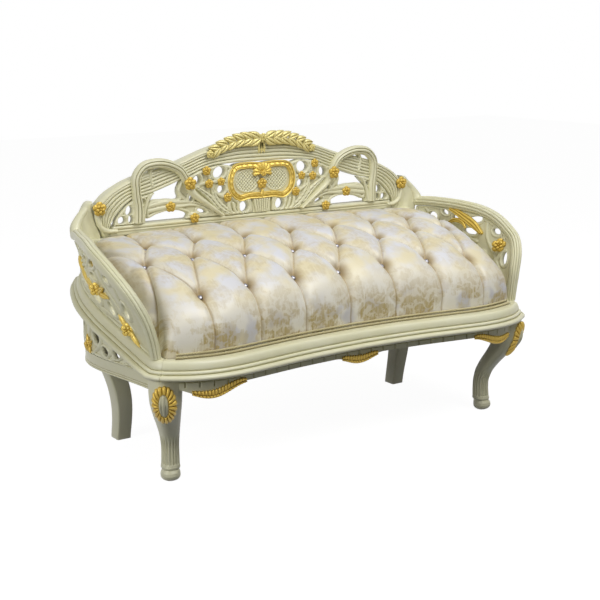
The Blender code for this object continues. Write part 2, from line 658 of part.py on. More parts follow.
def bottom_rail():
    low, high = BOTTOM_RAIL
    outline = [(-0.4600, low), (0.4600, low), (0.4600, high - 0.022), (0.4480, high), (-0.4480, high),
               (-0.4600, high - 0.022)]
    plate("back_bottom_rail", outline, [], flat_back(1, BACK_FACE, BACK_REAR), IVORY)


def back_post(label, side):
    """Shaped end post that joins crest, seat and arm."""
    outer = along([(0.5015, 0.6245), (0.512, 0.6235), (0.528, 0.610), (0.543, 0.594), (0.556, 0.576),
                   (0.5675, 0.5575)], 9)
    inner = along([(0.5045, 0.604), (0.4965, 0.572), (0.4845, 0.541), (0.4810, 0.5305)], 7)
    outline = np.vstack([outer, [(0.5705, 0.545), (0.5690, 0.5305)], inner[::-1]])
    plate(f"back_post_{label}", outline, [], flat_back(side, BACK_FACE, BACK_REAR), IVORY)


def on_edge(points, x):
    """Height of an edge line at x."""
    line = along(points, 60)
    return float(np.interp(x, line[:, 0], line[:, 1]))


def back_corner(label, side):
    """Pierced web between the rising branch and the down-swept end of the crest."""
    top = [(x, on_edge(CREST_LOWER, x) - 0.0015) for x in (0.330, 0.355, 0.380)]
    fall = [(0.398, 0.6175), (0.414, 0.605), (0.430, 0.5900), (0.4440, 0.572), (0.4470, 0.558 + GAP)]
    outline = top + fall + [(0.358, 0.558 + GAP), (0.357, 0.590), (0.349, 0.615), (0.329, 0.6335)]
    holes = [oval(0.4045, 0.594, 0.0085, 0.011, 20), oval(0.401, 0.571, 0.006, 0.009),
             oval(0.4260, 0.5705, 0.0095, 0.008), oval(0.3650, 0.6140, 0.0045, 0.006, 15, 8)]
    plate(f"back_corner_{label}", outline[::-1], holes, flat_back(side), IVORY)


def back_tracery(label, side):
    """Pierced spray of stems and leaves between the branch and the cartouche, with the cross branch."""
    top = [(x, on_edge(CREST_LOWER, x) - 0.0015) for x in (0.120, 0.145, 0.170, 0.200, 0.230, 0.252)]
    window = [(0.262, 0.642), (0.263, 0.631), (0.259, 0.6185), (0.300, 0.6165), (0.3475, 0.6100),
              (0.3555, 0.588), (0.3555, 0.570), (0.325, 0.578), (0.290, 0.584), (0.250, 0.5805),
              (0.2330, 0.571), (0.2400, 0.5605), (0.2440, 0.558 + GAP)]
    line = along(CARTOUCHE, CARTOUCHE_STEPS)
    tangent = unit(np.gradient(line, axis=0))
    line = line + np.column_stack([-tangent[:, 1], tangent[:, 0]]) * 0.0010
    beside = line[(line[:, 0] > 0.032) & ((line[:, 1] < 0.648) | (line[:, 0] > 0.088))]
    outline = top + window + [(0.031, 0.558 + GAP), (0.0315, 0.585)] + list(map(tuple, beside[::-1]))
    holes = [oval(0.204, 0.6580, 0.008, 0.0115, 25), oval(0.1345, 0.6765, 0.0095, 0.0110, -20),
             oval(0.1290, 0.630, 0.0085, 0.0085), oval(0.0580, 0.5765, 0.0095, 0.0095),
             oval(0.190, 0.5765, 0.013, 0.004, 18), oval(0.221, 0.616, 0.004, 0.011, 25, 8),
             oval(0.142, 0.5715, 0.011, 0.0035, 12, 8)]
    plate(f"back_tracery_{label}", outline[::-1], holes, flat_back(side), IVORY)


def cartouche():
    """Panel, fluted stem, gilded frame and shell in the middle of the back."""
    half = along(CARTOUCHE, CARTOUCHE_STEPS)
    ring = np.vstack([half, half[-2:0:-1] * [-1, 1]])
    plate("cartouche_panel", ring, [], flat_back(1, BACK_FACE, PANEL_REAR), IVORY)
    stem = [(-0.0285, 0.558 + GAP), (0.0285, 0.558 + GAP), (0.0300, 0.578), (0.0285, 0.5960), (0, 0.5965),
            (-0.0285, 0.5960), (-0.0300, 0.578)]
    plate("cartouche_stem", stem, [], flat_back(1, BACK_FACE, PANEL_REAR), IVORY)
    path = np.column_stack([ring[:, 0], np.full(len(ring), BACK_FACE - GAP), ring[:, 1]])
    tangent = unit(np.roll(path, -1, axis=0) - np.roll(path, 1, axis=0))
    up = np.tile([0, -1.0, 0], (len(path), 1))
    out = unit(np.cross(tangent, up))
    section = [(-0.0160, 0), (-0.0155, 0.004), (-0.011, 0.0085), (-0.005, 0.009), (-0.0005, 0.005), (0, 0)]
    middle = np.array([0, 0, 0.648])
    out *= np.sign(((path - middle) * out).sum(axis=1, keepdims=True))
    sweep("cartouche_frame", path, out, up, section, GILT, closed=True)
    fan = np.linspace(-0.25, math.pi + 0.25, 15)
    reach = 1 + 0.09 * np.cos(np.arange(15) * math.pi)
    shell = np.column_stack([0.027 * reach * np.cos(fan), 0.668 + 0.025 * reach * np.sin(fan)])
    shell = np.vstack([shell, [(0, 0.655)]])
    plate("cartouche_shell", shell, [], flat_back(1, BACK_FACE - 0.0170, BACK_FACE - 0.0100), GILT)


def rosettes():
    for label, x, z, radius, on_loop in ROSETTES:
        base = LOOP_FRONT if on_loop else BACK_FACE
        for hand, side in SIDES:
            name = f"{label}_rosette_{hand}"
            rosette(name, (side * x, base, z), (side, 0, 0), (0, 0, 1), (0, -1, 0), radius)
    rosette("cartouche_rosette", (0, BACK_FACE, 0.638), (0, 0, 1), (1, 0, 0), (0, -1, 0), 0.0155)


def loop_branch(label, side):
    """Half-round branch that loops over the crest, in front of the pierced work."""
    line = along(LOOP_LINE, 29)
    path = np.column_stack([side * line[:, 0], np.full(len(line), BACK_FACE - GAP), line[:, 1]])
    tangent = unit(np.gradient(path, axis=0))
    up = np.tile([0, -1.0, 0], (len(path), 1))
    out = unit(np.cross(tangent, up))
    gone = np.linspace(0, 1, len(line))
    half = np.interp(gone, [0, 0.1, 0.5, 0.8, 1], [0.0125, 0.012, 0.0130, 0.0105, 0.006])
    deep = BACK_FACE - GAP - LOOP_FRONT
    section = np.array([(-1, 0), (-0.92, 0.55), (-0.45, 0.95), (0.45, 0.95), (0.92, 0.55), (1, 0)])
    section = section[None] * np.column_stack([half, np.full(len(half), deep)])[:, None]
    sweep(f"loop_branch_{label}", path, out, up, section, IVORY)


def crest_garland():
    """Gilded chain of leaves along the top of the crest, thick in the middle, with a drop below."""
    line = mirrored(along([(0, 0.7655), (0.075, 0.7620), (0.125, 0.749), (0.172, 0.7255)], 19))
    path = np.column_stack([line[:, 0], np.full(len(line), BACK_FACE - GAP), line[:, 1]])
    tangent = unit(np.gradient(path, axis=0))
    up = np.tile([0, -1.0, 0], (len(path), 1))
    out = unit(np.cross(up, tangent))
    out *= np.sign(out[:, 2:])
    place = np.linspace(-1, 1, len(path))
    half = (0.0145 - 0.0055 * place ** 2) * (0.80 + 0.20 * np.cos(place * 9 * math.pi))
    section = np.array([(-1, 0), (-0.9, 0.004), (-0.3, 0.010), (0.4, 0.010), (1.2, 0.005), (1.25, 0)])
    wide = section[None, :, :1] * half[:, None, None]
    deep = np.broadcast_to(section[None, :, 1:], (len(path), len(section), 1))
    sweep("crest_garland", path, out, up, np.concatenate([wide, deep], axis=2), GILT)
    drop = [(0, 0.7185), (0.0070, 0.728), (0.0095, 0.739), (0.0055, 0.7465), (-0.0055, 0.7465),
            (-0.0095, 0.739), (-0.0070, 0.728)]
    plate("garland_drop", drop, [], flat_back(1, BACK_FACE - GAP - 0.010, BACK_FACE - GAP), GILT)


for hand, sign in SIDES:
    front_leg(hand, sign)
    rear_leg(hand, sign)
    knee_ornament(hand, sign)
    corner_block(hand, sign)
    arm_rail(hand, sign)
    arm_infill(hand, sign)
    side_carving(hand, sign)
    back_post(hand, sign)
    back_corner(hand, sign)
    back_tracery(hand, sign)
    loop_branch(hand, sign)
seat_rails()
aprons()
apron_drop("left", -0.497, -0.355)
apron_drop("right", 0.355, 0.497)
apron_drop("centre", -0.055, 0.055)
seat_deck()
seat_cushion()
seat_braid()
rear_seat_rail()
crest_rail()
bottom_rail()
cartouche()
rosettes()
crest_garland()
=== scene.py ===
import math

import bpy
import numpy as np
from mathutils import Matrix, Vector


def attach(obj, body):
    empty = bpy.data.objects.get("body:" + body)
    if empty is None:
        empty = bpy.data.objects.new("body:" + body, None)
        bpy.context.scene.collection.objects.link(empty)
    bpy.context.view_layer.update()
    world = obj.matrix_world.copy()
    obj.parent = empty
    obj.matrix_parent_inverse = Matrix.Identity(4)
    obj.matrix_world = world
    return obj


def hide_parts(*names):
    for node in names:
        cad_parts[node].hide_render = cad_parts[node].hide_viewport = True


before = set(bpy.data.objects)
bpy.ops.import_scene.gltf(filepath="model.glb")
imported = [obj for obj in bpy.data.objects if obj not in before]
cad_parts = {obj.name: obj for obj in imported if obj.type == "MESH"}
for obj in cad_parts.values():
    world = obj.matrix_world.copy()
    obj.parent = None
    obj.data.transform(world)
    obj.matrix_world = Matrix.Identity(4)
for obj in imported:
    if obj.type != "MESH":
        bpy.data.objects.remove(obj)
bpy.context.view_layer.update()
tau = 2 * math.pi


# Small numpy helpers

def unit(v):  # vectors scaled to length one
    return v / np.maximum(np.linalg.norm(v, axis=-1, keepdims=True), 1e-12)


def smooth(low, high, x):  # cubic step from 0 at low to 1 at high
    t = np.clip((x - low) / (high - low), 0, 1)
    return t * t * (3 - 2 * t)


def curve(points, count):  # Hermite curve through the points, resampled to even steps
    knots = np.array(points, float)
    length = np.linalg.norm(np.diff(knots, axis=0), axis=1)
    slope = np.gradient(knots, np.r_[0, np.cumsum(length)], axis=0)
    t = np.linspace(0, 1, 24, endpoint=False)[:, None]
    spans = [(1 + 2 * t) * (1 - t) ** 2 * a + t * (1 - t) ** 2 * p * s + t * t * (3 - 2 * t) * b
             + t * t * (t - 1) * q * s for a, b, p, q, s in zip(knots, knots[1:], slope, slope[1:], length)]
    fine = np.vstack(spans + [knots[-1:]])
    gone = np.r_[0, np.cumsum(np.linalg.norm(np.diff(fine, axis=0), axis=1))]
    return np.column_stack([np.interp(np.linspace(0, gone[-1], count), gone, c) for c in fine.T])


def gridFaces(rows, cols, wrapRows=False, wrapCols=False):  # quads over a grid of points, row by row
    index = np.arange(rows * cols).reshape(rows, cols)
    down = np.roll(index, -1, 0) if wrapRows else index[1:]
    here = index if wrapRows else index[:-1]
    quads = np.stack([here, np.roll(here, -1, 1), np.roll(down, -1, 1), down], -1)
    return (quads if wrapCols else quads[:, :-1]).reshape(-1, 4)


def outward(points, faces):  # the faces turned over if the volume they close comes out below 0
    volume = 0.0
    for face in faces:
        for k in range(1, face.shape[1] - 1):
            a, b, c = (points[face[:, corner]] for corner in (0, k, k + 1))
            volume += float((a * np.cross(b, c)).sum())
    return points, faces if volume > 0 else [face[:, ::-1] for face in faces]


def tube(rings, wrapRows=False):  # skin over closed rings, with a fan of triangles on each open end
    ends = np.array([rings[0].mean(0), rings[-1].mean(0)])
    if not wrapRows:  # a ring that is one point becomes the middle of the fan
        atStart, atEnd = (int(np.ptp(ring, axis=0).max() < 1e-7) for ring in (rings[0], rings[-1]))
        rings = rings[atStart:len(rings) - atEnd]
    rows, cols, _ = rings.shape
    points = rings.reshape(-1, 3)
    faces = [gridFaces(rows, cols, wrapRows, True)]
    if not wrapRows:
        ring = np.arange(cols)
        last = (rows - 1) * cols
        points = np.vstack([points, ends])
        faces.append(np.stack([np.roll(ring, -1), ring, np.full(cols, rows * cols)], 1))
        faces.append(np.stack([ring + last, np.roll(ring, -1) + last, np.full(cols, rows * cols + 1)], 1))
    return outward(points, faces)


def carry(path, across, up, section):  # rings of a section carried along a path
    section = np.asarray(section, float)
    return path[:, None] + section[..., :1] * across[:, None] + section[..., 1:] * up[:, None]


def joined(parts):  # several (points, faces) as one
    points, faces, total = [], [], 0
    for p, fs in parts:
        points.append(p)
        faces += [f + total for f in fs]
        total += len(p)
    return np.vstack(points), faces


def hollowOf(mesh, points, crowded=20):  # how far neighbours stand in front of a point: above 0 in grooves
    count = len(points)
    normal = np.empty(count * 3, np.float32)
    mesh.vertex_normals.foreach_get("vector", normal)
    normal = normal.reshape(-1, 3)
    edge = np.empty(len(mesh.edges) * 2, np.int32)
    mesh.edges.foreach_get("vertices", edge)
    a, b = edge.reshape(-1, 2).T
    step = unit(points[b] - points[a])
    total = np.bincount(a, (normal[a] * step).sum(1), count)
    total = total - np.bincount(b, (normal[b] * step).sum(1), count)
    near = np.maximum(np.bincount(a, minlength=count) + np.bincount(b, minlength=count), 1)
    value = total / near
    crowd = near > crowded  # the middle of an end cap and its ring stay plain
    capped = crowd | (np.bincount(a, crowd[b], count) + np.bincount(b, crowd[a], count) > 0)
    value = np.where(capped, 0.0, value)
    spread = (np.bincount(a, value[b], count) + np.bincount(b, value[a], count)) / near
    return 0.5 * (value + spread)


def place(name, shape, finish, nodes=(), sharp=60, values=None, uv=None):  # a piece in a look; the slot name that comes with the finish is not used
    look, slotName = finish
    points, faces = shape
    faces = [np.asarray(f, np.int32) for f in faces if len(f)]
    mesh = bpy.data.meshes.new(name)
    mesh.vertices.add(len(points))
    mesh.vertices.foreach_set("co", np.ascontiguousarray(points, np.float32).ravel())
    sizes = np.concatenate([np.full(len(f), f.shape[1], np.int32) for f in faces])
    mesh.loops.add(int(sizes.sum()))
    mesh.loops.foreach_set("vertex_index", np.concatenate([f.ravel() for f in faces]))
    mesh.polygons.add(len(sizes))
    mesh.polygons.foreach_set("loop_start", np.r_[0, np.cumsum(sizes)[:-1]].astype(np.int32))
    mesh.update(calc_edges=True)
    mesh.validate()
    mesh.shade_smooth()
    mesh.set_sharp_from_angle(angle=math.radians(sharp))
    data = {"hollow": hollowOf(mesh, points), **(values or {})}
    for key, value in data.items():
        mesh.attributes.new(key, "FLOAT", "POINT").data.foreach_set("value", np.asarray(value, np.float32))
    if uv is not None:
        corner = np.empty(len(mesh.loops), np.int32)
        mesh.loops.foreach_get("vertex_index", corner)
        mesh.uv_layers.new(name="cloth").data.foreach_set("uv", np.asarray(uv, np.float32)[corner].ravel())
    mesh.materials.append(look)
    obj = bpy.data.objects.new(name, mesh)
    bpy.context.scene.collection.objects.link(obj)
    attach(obj, "root")
    if nodes:
        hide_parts(*nodes)
    return obj


def mirrored(shape):  # the left-hand twin of a right-hand shape
    points, faces = shape
    return points * [-1, 1, 1], [f[:, ::-1] for f in faces]


def pair(name, shape, finish, node=None, sharp=60):  # one piece a side, from the right-hand shape
    for label, twin in (("left", mirrored(shape)), ("right", shape)):
        place(f"{name}_{label}", twin, finish, [f"{node}_{label}"] if node else (), sharp)


# Shader maths as Python expressions

def plugIn(plug, value):  # a link, a colour or a plain value into one socket
    if isinstance(value, Sock):
        value.tree.links.new(value.link, plug)
    elif plug.type == "RGBA":
        plug.default_value = (*value, 1)
    else:
        plug.default_value = value


class Sock:
    def __init__(self, tree, link):
        self.tree = tree
        self.link = link

    def node(self, kind, out=0, settings=None, **values):  # settings first, then sockets by name or number
        made = self.tree.nodes.new(kind)
        for key, value in (settings or {}).items():
            setattr(made, key, value)
        for key, value in values.items():
            numbered = key[0] == "i" and key[1:].isdigit()
            plugIn(made.inputs[int(key[1:]) if numbered else key], value)
        return Sock(self.tree, None if out is None else made.outputs[out])

    def maths(self, operation, other, swap=False):  # a Math node on this and another value
        first, second = (other, self) if swap else (self, other)
        return self.node("ShaderNodeMath", settings={"operation": operation}, i0=first, i1=second)

    def __add__(self, o):
        return self.maths("ADD", o)

    def __sub__(self, o):
        return self.maths("SUBTRACT", o)

    def __rsub__(self, o):
        return self.maths("SUBTRACT", o, True)

    def __mul__(self, o):
        return self.maths("MULTIPLY", o)

    __radd__ = __add__
    __rmul__ = __mul__

    def step(self, low, high):  # smooth step from 0 at low to 1 at high
        smoothed = {"interpolation_type": "SMOOTHSTEP"}
        return self.node("ShaderNodeMapRange", settings=smoothed, i0=self, i1=low, i2=high)

    def mix(self, a, b):  # colour a where this is 0, colour b where it is 1
        return self.node("ShaderNodeMix", 2, {"data_type": "RGBA"}, i0=self, i6=a, i7=b)


def newLook(name):  # a Principled material: its shader node and a starting socket
    made = bpy.data.materials.new(name)
    made.use_nodes = True
    tree = made.node_tree
    shader = tree.nodes["Principled BSDF"]
    start = Sock(tree, tree.nodes.new("ShaderNodeTexCoord").outputs["Object"])
    return made, shader, start


def feed(shader, values):  # values or links into a shader's sockets, by name
    for name, value in values.items():
        plugIn(shader.inputs[name], value)


def attribute(start, name):  # a number stored on the mesh's points
    return start.node("ShaderNodeAttribute", 2, {"attribute_name": name})


def noise(start, scale, detail=3.0, rough=0.5, vector=None):  # noise on Object coordinates or a vector
    return start.node("ShaderNodeTexNoise", Vector=vector or start, Scale=scale, Detail=detail,
                      Roughness=rough)


def bumped(shader, start, height, strength, distance):  # a height into the shader's Normal
    bump = start.node("ShaderNodeBump", Strength=strength, Distance=distance, Height=height)
    feed(shader, {"Normal": bump})


ivory = {
    "cream": (0.735, 0.71, 0.465), "pale": (0.82, 0.81, 0.64), "glaze": (0.3, 0.26, 0.075), "rubbed": 0.65,
    "glazed": 0.78, "roughness": 0.34, "coat": 0.12, "coatRoughness": 0.2}


def ivoryLook():  # cream lacquer, khaki glaze in the hollows, rubbed paler on the edges, faint brush marks
    made, shader, start = newLook("ivoryLacquer")
    hollow = attribute(start, "hollow")
    cloud = noise(start, 9.0, 4.0)
    streak = noise(start, 60.0, 4.0, 0.6)
    groove = (hollow + (cloud - 0.5) * 0.06).step(0.015, 0.26)
    ridge = (0.0 - hollow).step(0.04, 0.3)
    tone = (cloud * 0.55 + streak * 0.25).step(0.25, 0.62)
    base = (tone * 0.5).mix(ivory["cream"], ivory["pale"])
    base = (ridge * ivory["rubbed"]).mix(base, ivory["pale"])
    base = (groove * ivory["glazed"]).mix(base, ivory["glaze"])
    feed(shader, {"Base Color": base, "Roughness": ivory["roughness"] + groove * 0.3 + streak * 0.08,
                  "Coat Weight": ivory["coat"], "Coat Roughness": ivory["coatRoughness"]})
    bumped(shader, start, streak * 0.6 + noise(start, 240.0, 2.0) * 0.4, 0.1, 0.0006)
    return made


gilt = {
    "leaf": (0.55, 0.375, 0.06), "bright": (0.84, 0.64, 0.2), "umber": (0.14, 0.085, 0.014), "metal": 0.5,
    "roughness": 0.34}
brightGilt = {
    "leaf": (0.68, 0.49, 0.09), "bright": (0.92, 0.75, 0.28), "umber": (0.3, 0.19, 0.035), "metal": 0.45,
    "roughness": 0.34}
paleGilt = {
    "leaf": (0.66, 0.56, 0.2), "bright": (0.88, 0.82, 0.46), "umber": (0.24, 0.18, 0.05), "metal": 0.35,
    "roughness": 0.34}


def giltLook(name, tones):  # antiqued gold leaf: umber in the hollows, bright on the rubbed edges
    made, shader, start = newLook(name)
    hollow = attribute(start, "hollow")
    patch = noise(start, 95.0, 4.0, 0.65)
    groove = (hollow + (patch - 0.5) * 0.12).step(0.0, 0.26)
    ridge = (0.0 - hollow + (patch - 0.5) * 0.1).step(0.05, 0.34)
    base = (ridge * 0.8).mix(tones["leaf"], tones["bright"])
    base = (groove * 0.8).mix(base, tones["umber"])
    feed(shader, {"Base Color": base, "Metallic": tones["metal"] * (1.0 - groove * 0.6),
                  "Roughness": tones["roughness"] + groove * 0.35 + patch * 0.12})
    bumped(shader, start, patch, 0.25, 0.0008)
    return made


board = {
    "wood": (0.5, 0.36, 0.2), "dark": (0.33, 0.21, 0.1), "grain": (1.5, 40.0, 40.0), "roughness": 0.62}


def boardLook():  # plain sawn board with long grain along X
    made, shader, start = newLook("sawnBoard")
    long = start.node("ShaderNodeMapping", Vector=start, Scale=board["grain"])
    grain = noise(start, 3.0, 6.0, 0.6, long)
    feed(shader, {"Base Color": grain.step(0.35, 0.7).mix(board["wood"], board["dark"]),
                  "Roughness": board["roughness"] + grain * 0.2})
    bumped(shader, start, grain, 0.3, 0.001)
    return made


ivoryCoat = (ivoryLook(), "ivory_lacquer")
goldLeaf = (giltLook("goldLeaf", gilt), "gold_leaf")
brightGold = (giltLook("brightGold", brightGilt), "gold_leaf")
paleGold = (giltLook("paleGold", paleGilt), "gold_leaf")
sawnBoard = (boardLook(), "plain_board")
print("finishes made")


# Seat plan shared by the rails, aprons, side carvings, braid and cushion

seat = {
    "plan": [(0, -0.222), (0.1, -0.226), (0.19, -0.233), (0.31, -0.249), (0.385, -0.2575), (0.445, -0.254),
             (0.498, -0.238), (0.532, -0.2175), (0.553, -0.2015), (0.566, -0.176), (0.571, -0.148),
             (0.575, -0.11), (0.585, -0.035), (0.597, 0.055), (0.595, 0.135), (0.575, 0.195),
             (0.545, 0.232)],
    "steps": 161, "inner": -0.045, "cornerEase": 0.017, "easeSteps": 9, "railTop": 0.315, "railLow": 0.2715,
    "riseFrom": -0.18, "riseSpan": 0.42, "risePower": 1.1, "rearRise": 0.155}
halfPlan = curve(seat["plan"], seat["steps"])
wholePlan = np.vstack([halfPlan[:0:-1] * [-1, 1], halfPlan])
planTangent = unit(np.gradient(wholePlan, axis=0))
planOut = np.column_stack([planTangent[:, 1], -planTangent[:, 0]])
planMiddle = seat["steps"] - 1
planCorner = int(np.argmax(halfPlan[:, 0] - halfPlan[:, 1]))


def rise(y):  # climb of the seat rail toward the back
    return seat["rearRise"] * np.clip((y - seat["riseFrom"]) / seat["riseSpan"], 0, 1) ** seat["risePower"]


def railInner(at):  # inner edge of the seat rail, drawn out a little at the corners
    away = (np.abs(at) - planCorner) / seat["easeSteps"]
    return seat["inner"] + seat["cornerEase"] * np.exp(-away ** 2)


def planAt(at):  # path and outward direction on the plan, at steps from the middle
    step = np.arange(len(wholePlan)) - planMiddle
    spot = np.stack([np.interp(at, step, c) for c in wholePlan.T], -1)
    out = unit(np.stack([np.interp(at, step, c) for c in planOut.T], -1))
    return spot, out


def stepAt(value, axis):  # step where the right half reaches an x in front or a y at the side
    part, start = (halfPlan[:planCorner], 0) if axis == 0 else (halfPlan[planCorner:], planCorner)
    return start + np.interp(value, part[:, axis], np.arange(len(part)))


def onPlan(at, out, height, climbs=False):  # points by step along, distance out and height
    at, out, height = np.broadcast_arrays(at, out, height)
    spot, away = planAt(at)
    flat = spot + away * out[..., None]
    lift = rise(flat[..., 1]) if climbs else 0.0
    return np.concatenate([flat, (height + lift)[..., None]], -1)


# Seat rails: one moulding round the seat, parted at the corners

rails = {
    "steps": 240, "sideSteps": 130, "seam": 0.05,
    "inner": [(-0.01, 0.2715), (-0.01, 0.2865), (0.0, 0.2865), (0.0, 0.3135), (0.002, 0.315)],
    "outer": [(-0.0095, 0.315), (-0.0062, 0.3144), (-0.0036, 0.313), (-0.0014, 0.3106), (0.0004, 0.3074),
              (0.0018, 0.304), (0.0028, 0.3005), (0.0032, 0.2975), (0.0026, 0.2957), (0.0016, 0.2946),
              (0.0028, 0.2938), (0.0058, 0.2936), (0.0082, 0.2924), (0.0095, 0.2902), (0.0093, 0.288),
              (0.008, 0.2867), (0.0082, 0.2856), (0.0112, 0.2852), (0.015, 0.2846), (0.018, 0.2826),
              (0.0197, 0.2798), (0.0197, 0.2768), (0.0177, 0.2742), (0.0146, 0.2727), (0.0106, 0.2719),
              (0.0056, 0.2716), (-0.004, 0.2715)]}


def railShape(at):  # the moulding's section at each step, its inner points following the inner edge
    inner = np.array(rails["inner"])
    outer = np.array(rails["outer"])
    follows = inner[None, :, 0] + railInner(at)[:, None]
    out = np.concatenate([follows, np.broadcast_to(outer[:, 0], (len(at), len(outer)))], 1)
    high = np.broadcast_to(np.r_[inner[:, 1], outer[:, 1]], out.shape)
    return tube(onPlan(at[:, None], out, high, True))


def seatRails():  # the moulding from corner to corner, and from each corner to the back
    front = np.linspace(-planCorner + rails["seam"], planCorner - rails["seam"], rails["steps"])
    place("frontRail", railShape(front), ivoryCoat, ["front_seat_rail"], 50)
    side = np.linspace(planCorner + rails["seam"], seat["steps"] - 1, rails["sideSteps"])
    pair("sideRail", railShape(side), ivoryCoat, "side_seat_rail", 50)


seatRails()
print("seat rails")


# Aprons: a band of shallow brick panels over a bead, dipping to the gilded drops

apron = {
    "out": -0.012, "inner": -0.034, "low": 0.2495, "sideLow": 0.237, "top": 0.271, "end": 0.524,
    "brick": 0.037, "course": 0.264, "joint": 0.0017, "groove": 0.0042, "dip": 0.0245, "dipFrom": 0.35,
    "dipTo": 0.55, "middleDip": 0.017, "middleHalf": 0.075, "steps": 900, "sideSteps": 200,
    "sideFrom": -0.157, "sideTo": 0.2, "fillet": 0.0005, "beads": (0.0026, 0.008), "beadHalf": 0.0027,
    "beadSink": 0.003, "beadLift": 0.004}


def hump(x, low, high):  # 1 half way between low and high, 0 beyond them
    return np.sin(math.pi * np.clip((x - low) / (high - low), 0, 1)) ** 2


def apronEdge(x):  # height of the front apron's lower edge
    side = apron["dip"] * hump(np.abs(x), apron["dipFrom"], apron["dipTo"])
    return apron["low"] - side - apron["middleDip"] * hump(x, -apron["middleHalf"], apron["middleHalf"])


def apronBand(at, low, bricks):  # grid from the top of the face down to its lower edge and back up the rear
    t = np.linspace(0, 1, 36)
    low = np.broadcast_to(low, at.shape)[:, None]
    down = apron["top"] + (low - apron["top"]) * t[None]
    face = np.full(down.shape, apron["out"])
    if bricks:  # two courses of brickwork, the joints of one over the middles of the other
        spot, _ = planAt(at)
        gone = np.r_[0, np.cumsum(np.linalg.norm(np.diff(spot, axis=0), axis=1))]
        run = (gone - gone.mean())[:, None] / apron["brick"] + 0.5 * (down > apron["course"])
        edge = np.minimum(np.abs(run - np.round(run)) * apron["brick"], np.abs(down - apron["course"]))
        edge = np.where(down > apron["low"] + apron["fillet"], edge, np.inf)  # no joints on the dips
        face = face - apron["groove"] * np.exp(-(edge / apron["joint"]) ** 2)
    else:  # two beads along the lower edge
        for middle in apron["beads"]:
            s = (down - low - middle) / apron["beadHalf"]
            bead = face - apron["beadSink"] + apron["beadLift"] * np.sqrt(np.clip(1 - s * s, 0, 1))
            face = np.where(np.abs(s) < 1, bead, face)
    rear = np.full((len(at), 2), apron["inner"])
    rearHigh = np.concatenate([low, np.full_like(low, apron["top"])], 1)
    return tube(onPlan(at[:, None], np.concatenate([face, rear], 1), np.concatenate([down, rearHigh], 1)))


def aprons():  # bricked in front between the legs, beaded at the sides
    end = stepAt(apron["end"], 0)
    at = np.linspace(-end, end, apron["steps"])
    front = apronBand(at, apronEdge(planAt(at)[0][:, 0]), True)
    place("frontApron", front, ivoryCoat, ["front_apron"], 45)
    at = np.linspace(stepAt(apron["sideFrom"], 1), stepAt(apron["sideTo"], 1), apron["sideSteps"])
    pair("sideApron", apronBand(at, apron["sideLow"], False), ivoryCoat, "side_apron", 45)


aprons()
print("aprons")


# Legs

frontLeg = {
    "foot": (0.496, -0.123), "diagonal": (0.568, -0.823), "around": 72, "rings": 190, "top": 0.271,
    "crowd": ([0, 0.42, 1], [0, 0.26, 1]), "soften": 0.009, "softFrom": (0.045, 0.08), "flutes": 18,
    "fluteDeep": 0.0026, "fluteFrom": (0.037, 0.042), "fluteTo": (0.085, 0.112), "fluteArch": 0.012,
    "profile": [(0.0, 0.004, 0.014, 2.2), (0.0025, 0.005, 0.0185, 2.2), (0.007, 0.0055, 0.0222, 2.2),
                (0.013, 0.006, 0.0236, 2.2), (0.02, 0.0055, 0.023, 2.2), (0.0255, 0.0035, 0.0206, 2.3),
                (0.0275, 0.003, 0.0198, 2.4), (0.03, 0.0025, 0.0214, 2.6), (0.033, 0.002, 0.0222, 2.6),
                (0.036, 0.0015, 0.0214, 2.6), (0.045, 0.0008, 0.0212, 2.6), (0.06, 0.0, 0.0208, 2.6),
                (0.085, 0.0, 0.0205, 2.6), (0.114, 0.008, 0.0225, 2.6), (0.14, 0.0235, 0.0258, 2.6),
                (0.166, 0.043, 0.0292, 2.7), (0.188, 0.0585, 0.0318, 2.9), (0.212, 0.069, 0.034, 3.2),
                (0.24, 0.0705, 0.0345, 3.6), (0.271, 0.066, 0.034, 4.0)]}
legProfile = np.array(frontLeg["profile"])
legFacing = math.atan2(frontLeg["diagonal"][1], frontLeg["diagonal"][0])


def legAt(height):  # shift along the diagonal, half width and squareness of the front leg at a height
    return [np.interp(height, legProfile[:, 0], legProfile[:, k]) for k in (1, 2, 3)]


def legSmooth(height):  # the same, rounded by averaging over a short length
    reach = np.linspace(-frontLeg["soften"], frontLeg["soften"], 7)
    soft = smooth(*frontLeg["softFrom"], height)
    sharp = np.array(legAt(height))
    wide = np.mean([legAt(np.clip(height + r, 0, frontLeg["top"])) for r in reach], axis=0)
    return sharp + (wide - sharp) * soft


def onLeg(angle, height, lift):  # superellipse round the leg's leaning axis, grown by a lift
    shift, half, power = legSmooth(height)
    c, s = np.cos(angle), np.sin(angle)
    size = half * (np.abs(c) ** power + np.abs(s) ** power) ** (-1 / power) + lift
    x = frontLeg["foot"][0] + frontLeg["diagonal"][0] * shift + size * c
    y = frontLeg["foot"][1] + frontLeg["diagonal"][1] * shift + size * s
    return np.stack(np.broadcast_arrays(x, y, height), -1)


def flutedLeg(angle, height):  # flutes with arched tops above the collar
    turn = (angle - legFacing) / tau * frontLeg["flutes"]
    arched = height + frontLeg["fluteArch"] * np.cos(turn * tau)
    band = smooth(*frontLeg["fluteFrom"], height) * (1 - smooth(*frontLeg["fluteTo"], arched))
    groove = np.clip(np.abs((turn % 1) - 0.5) * 2, 0, 1)
    return onLeg(angle, height, -frontLeg["fluteDeep"] * band * (1 - groove ** 2))


def frontLegs():  # fluted rings stacked from the floor to the rail
    angle = np.linspace(0, tau, frontLeg["around"], endpoint=False)[None]
    share = np.interp(np.linspace(0, 1, frontLeg["rings"]), *frontLeg["crowd"])  # more rings in the foot
    rings = flutedLeg(angle, (frontLeg["top"] * share)[:, None])
    pair("frontLeg", tube(rings), ivoryCoat, "front_leg", 48)


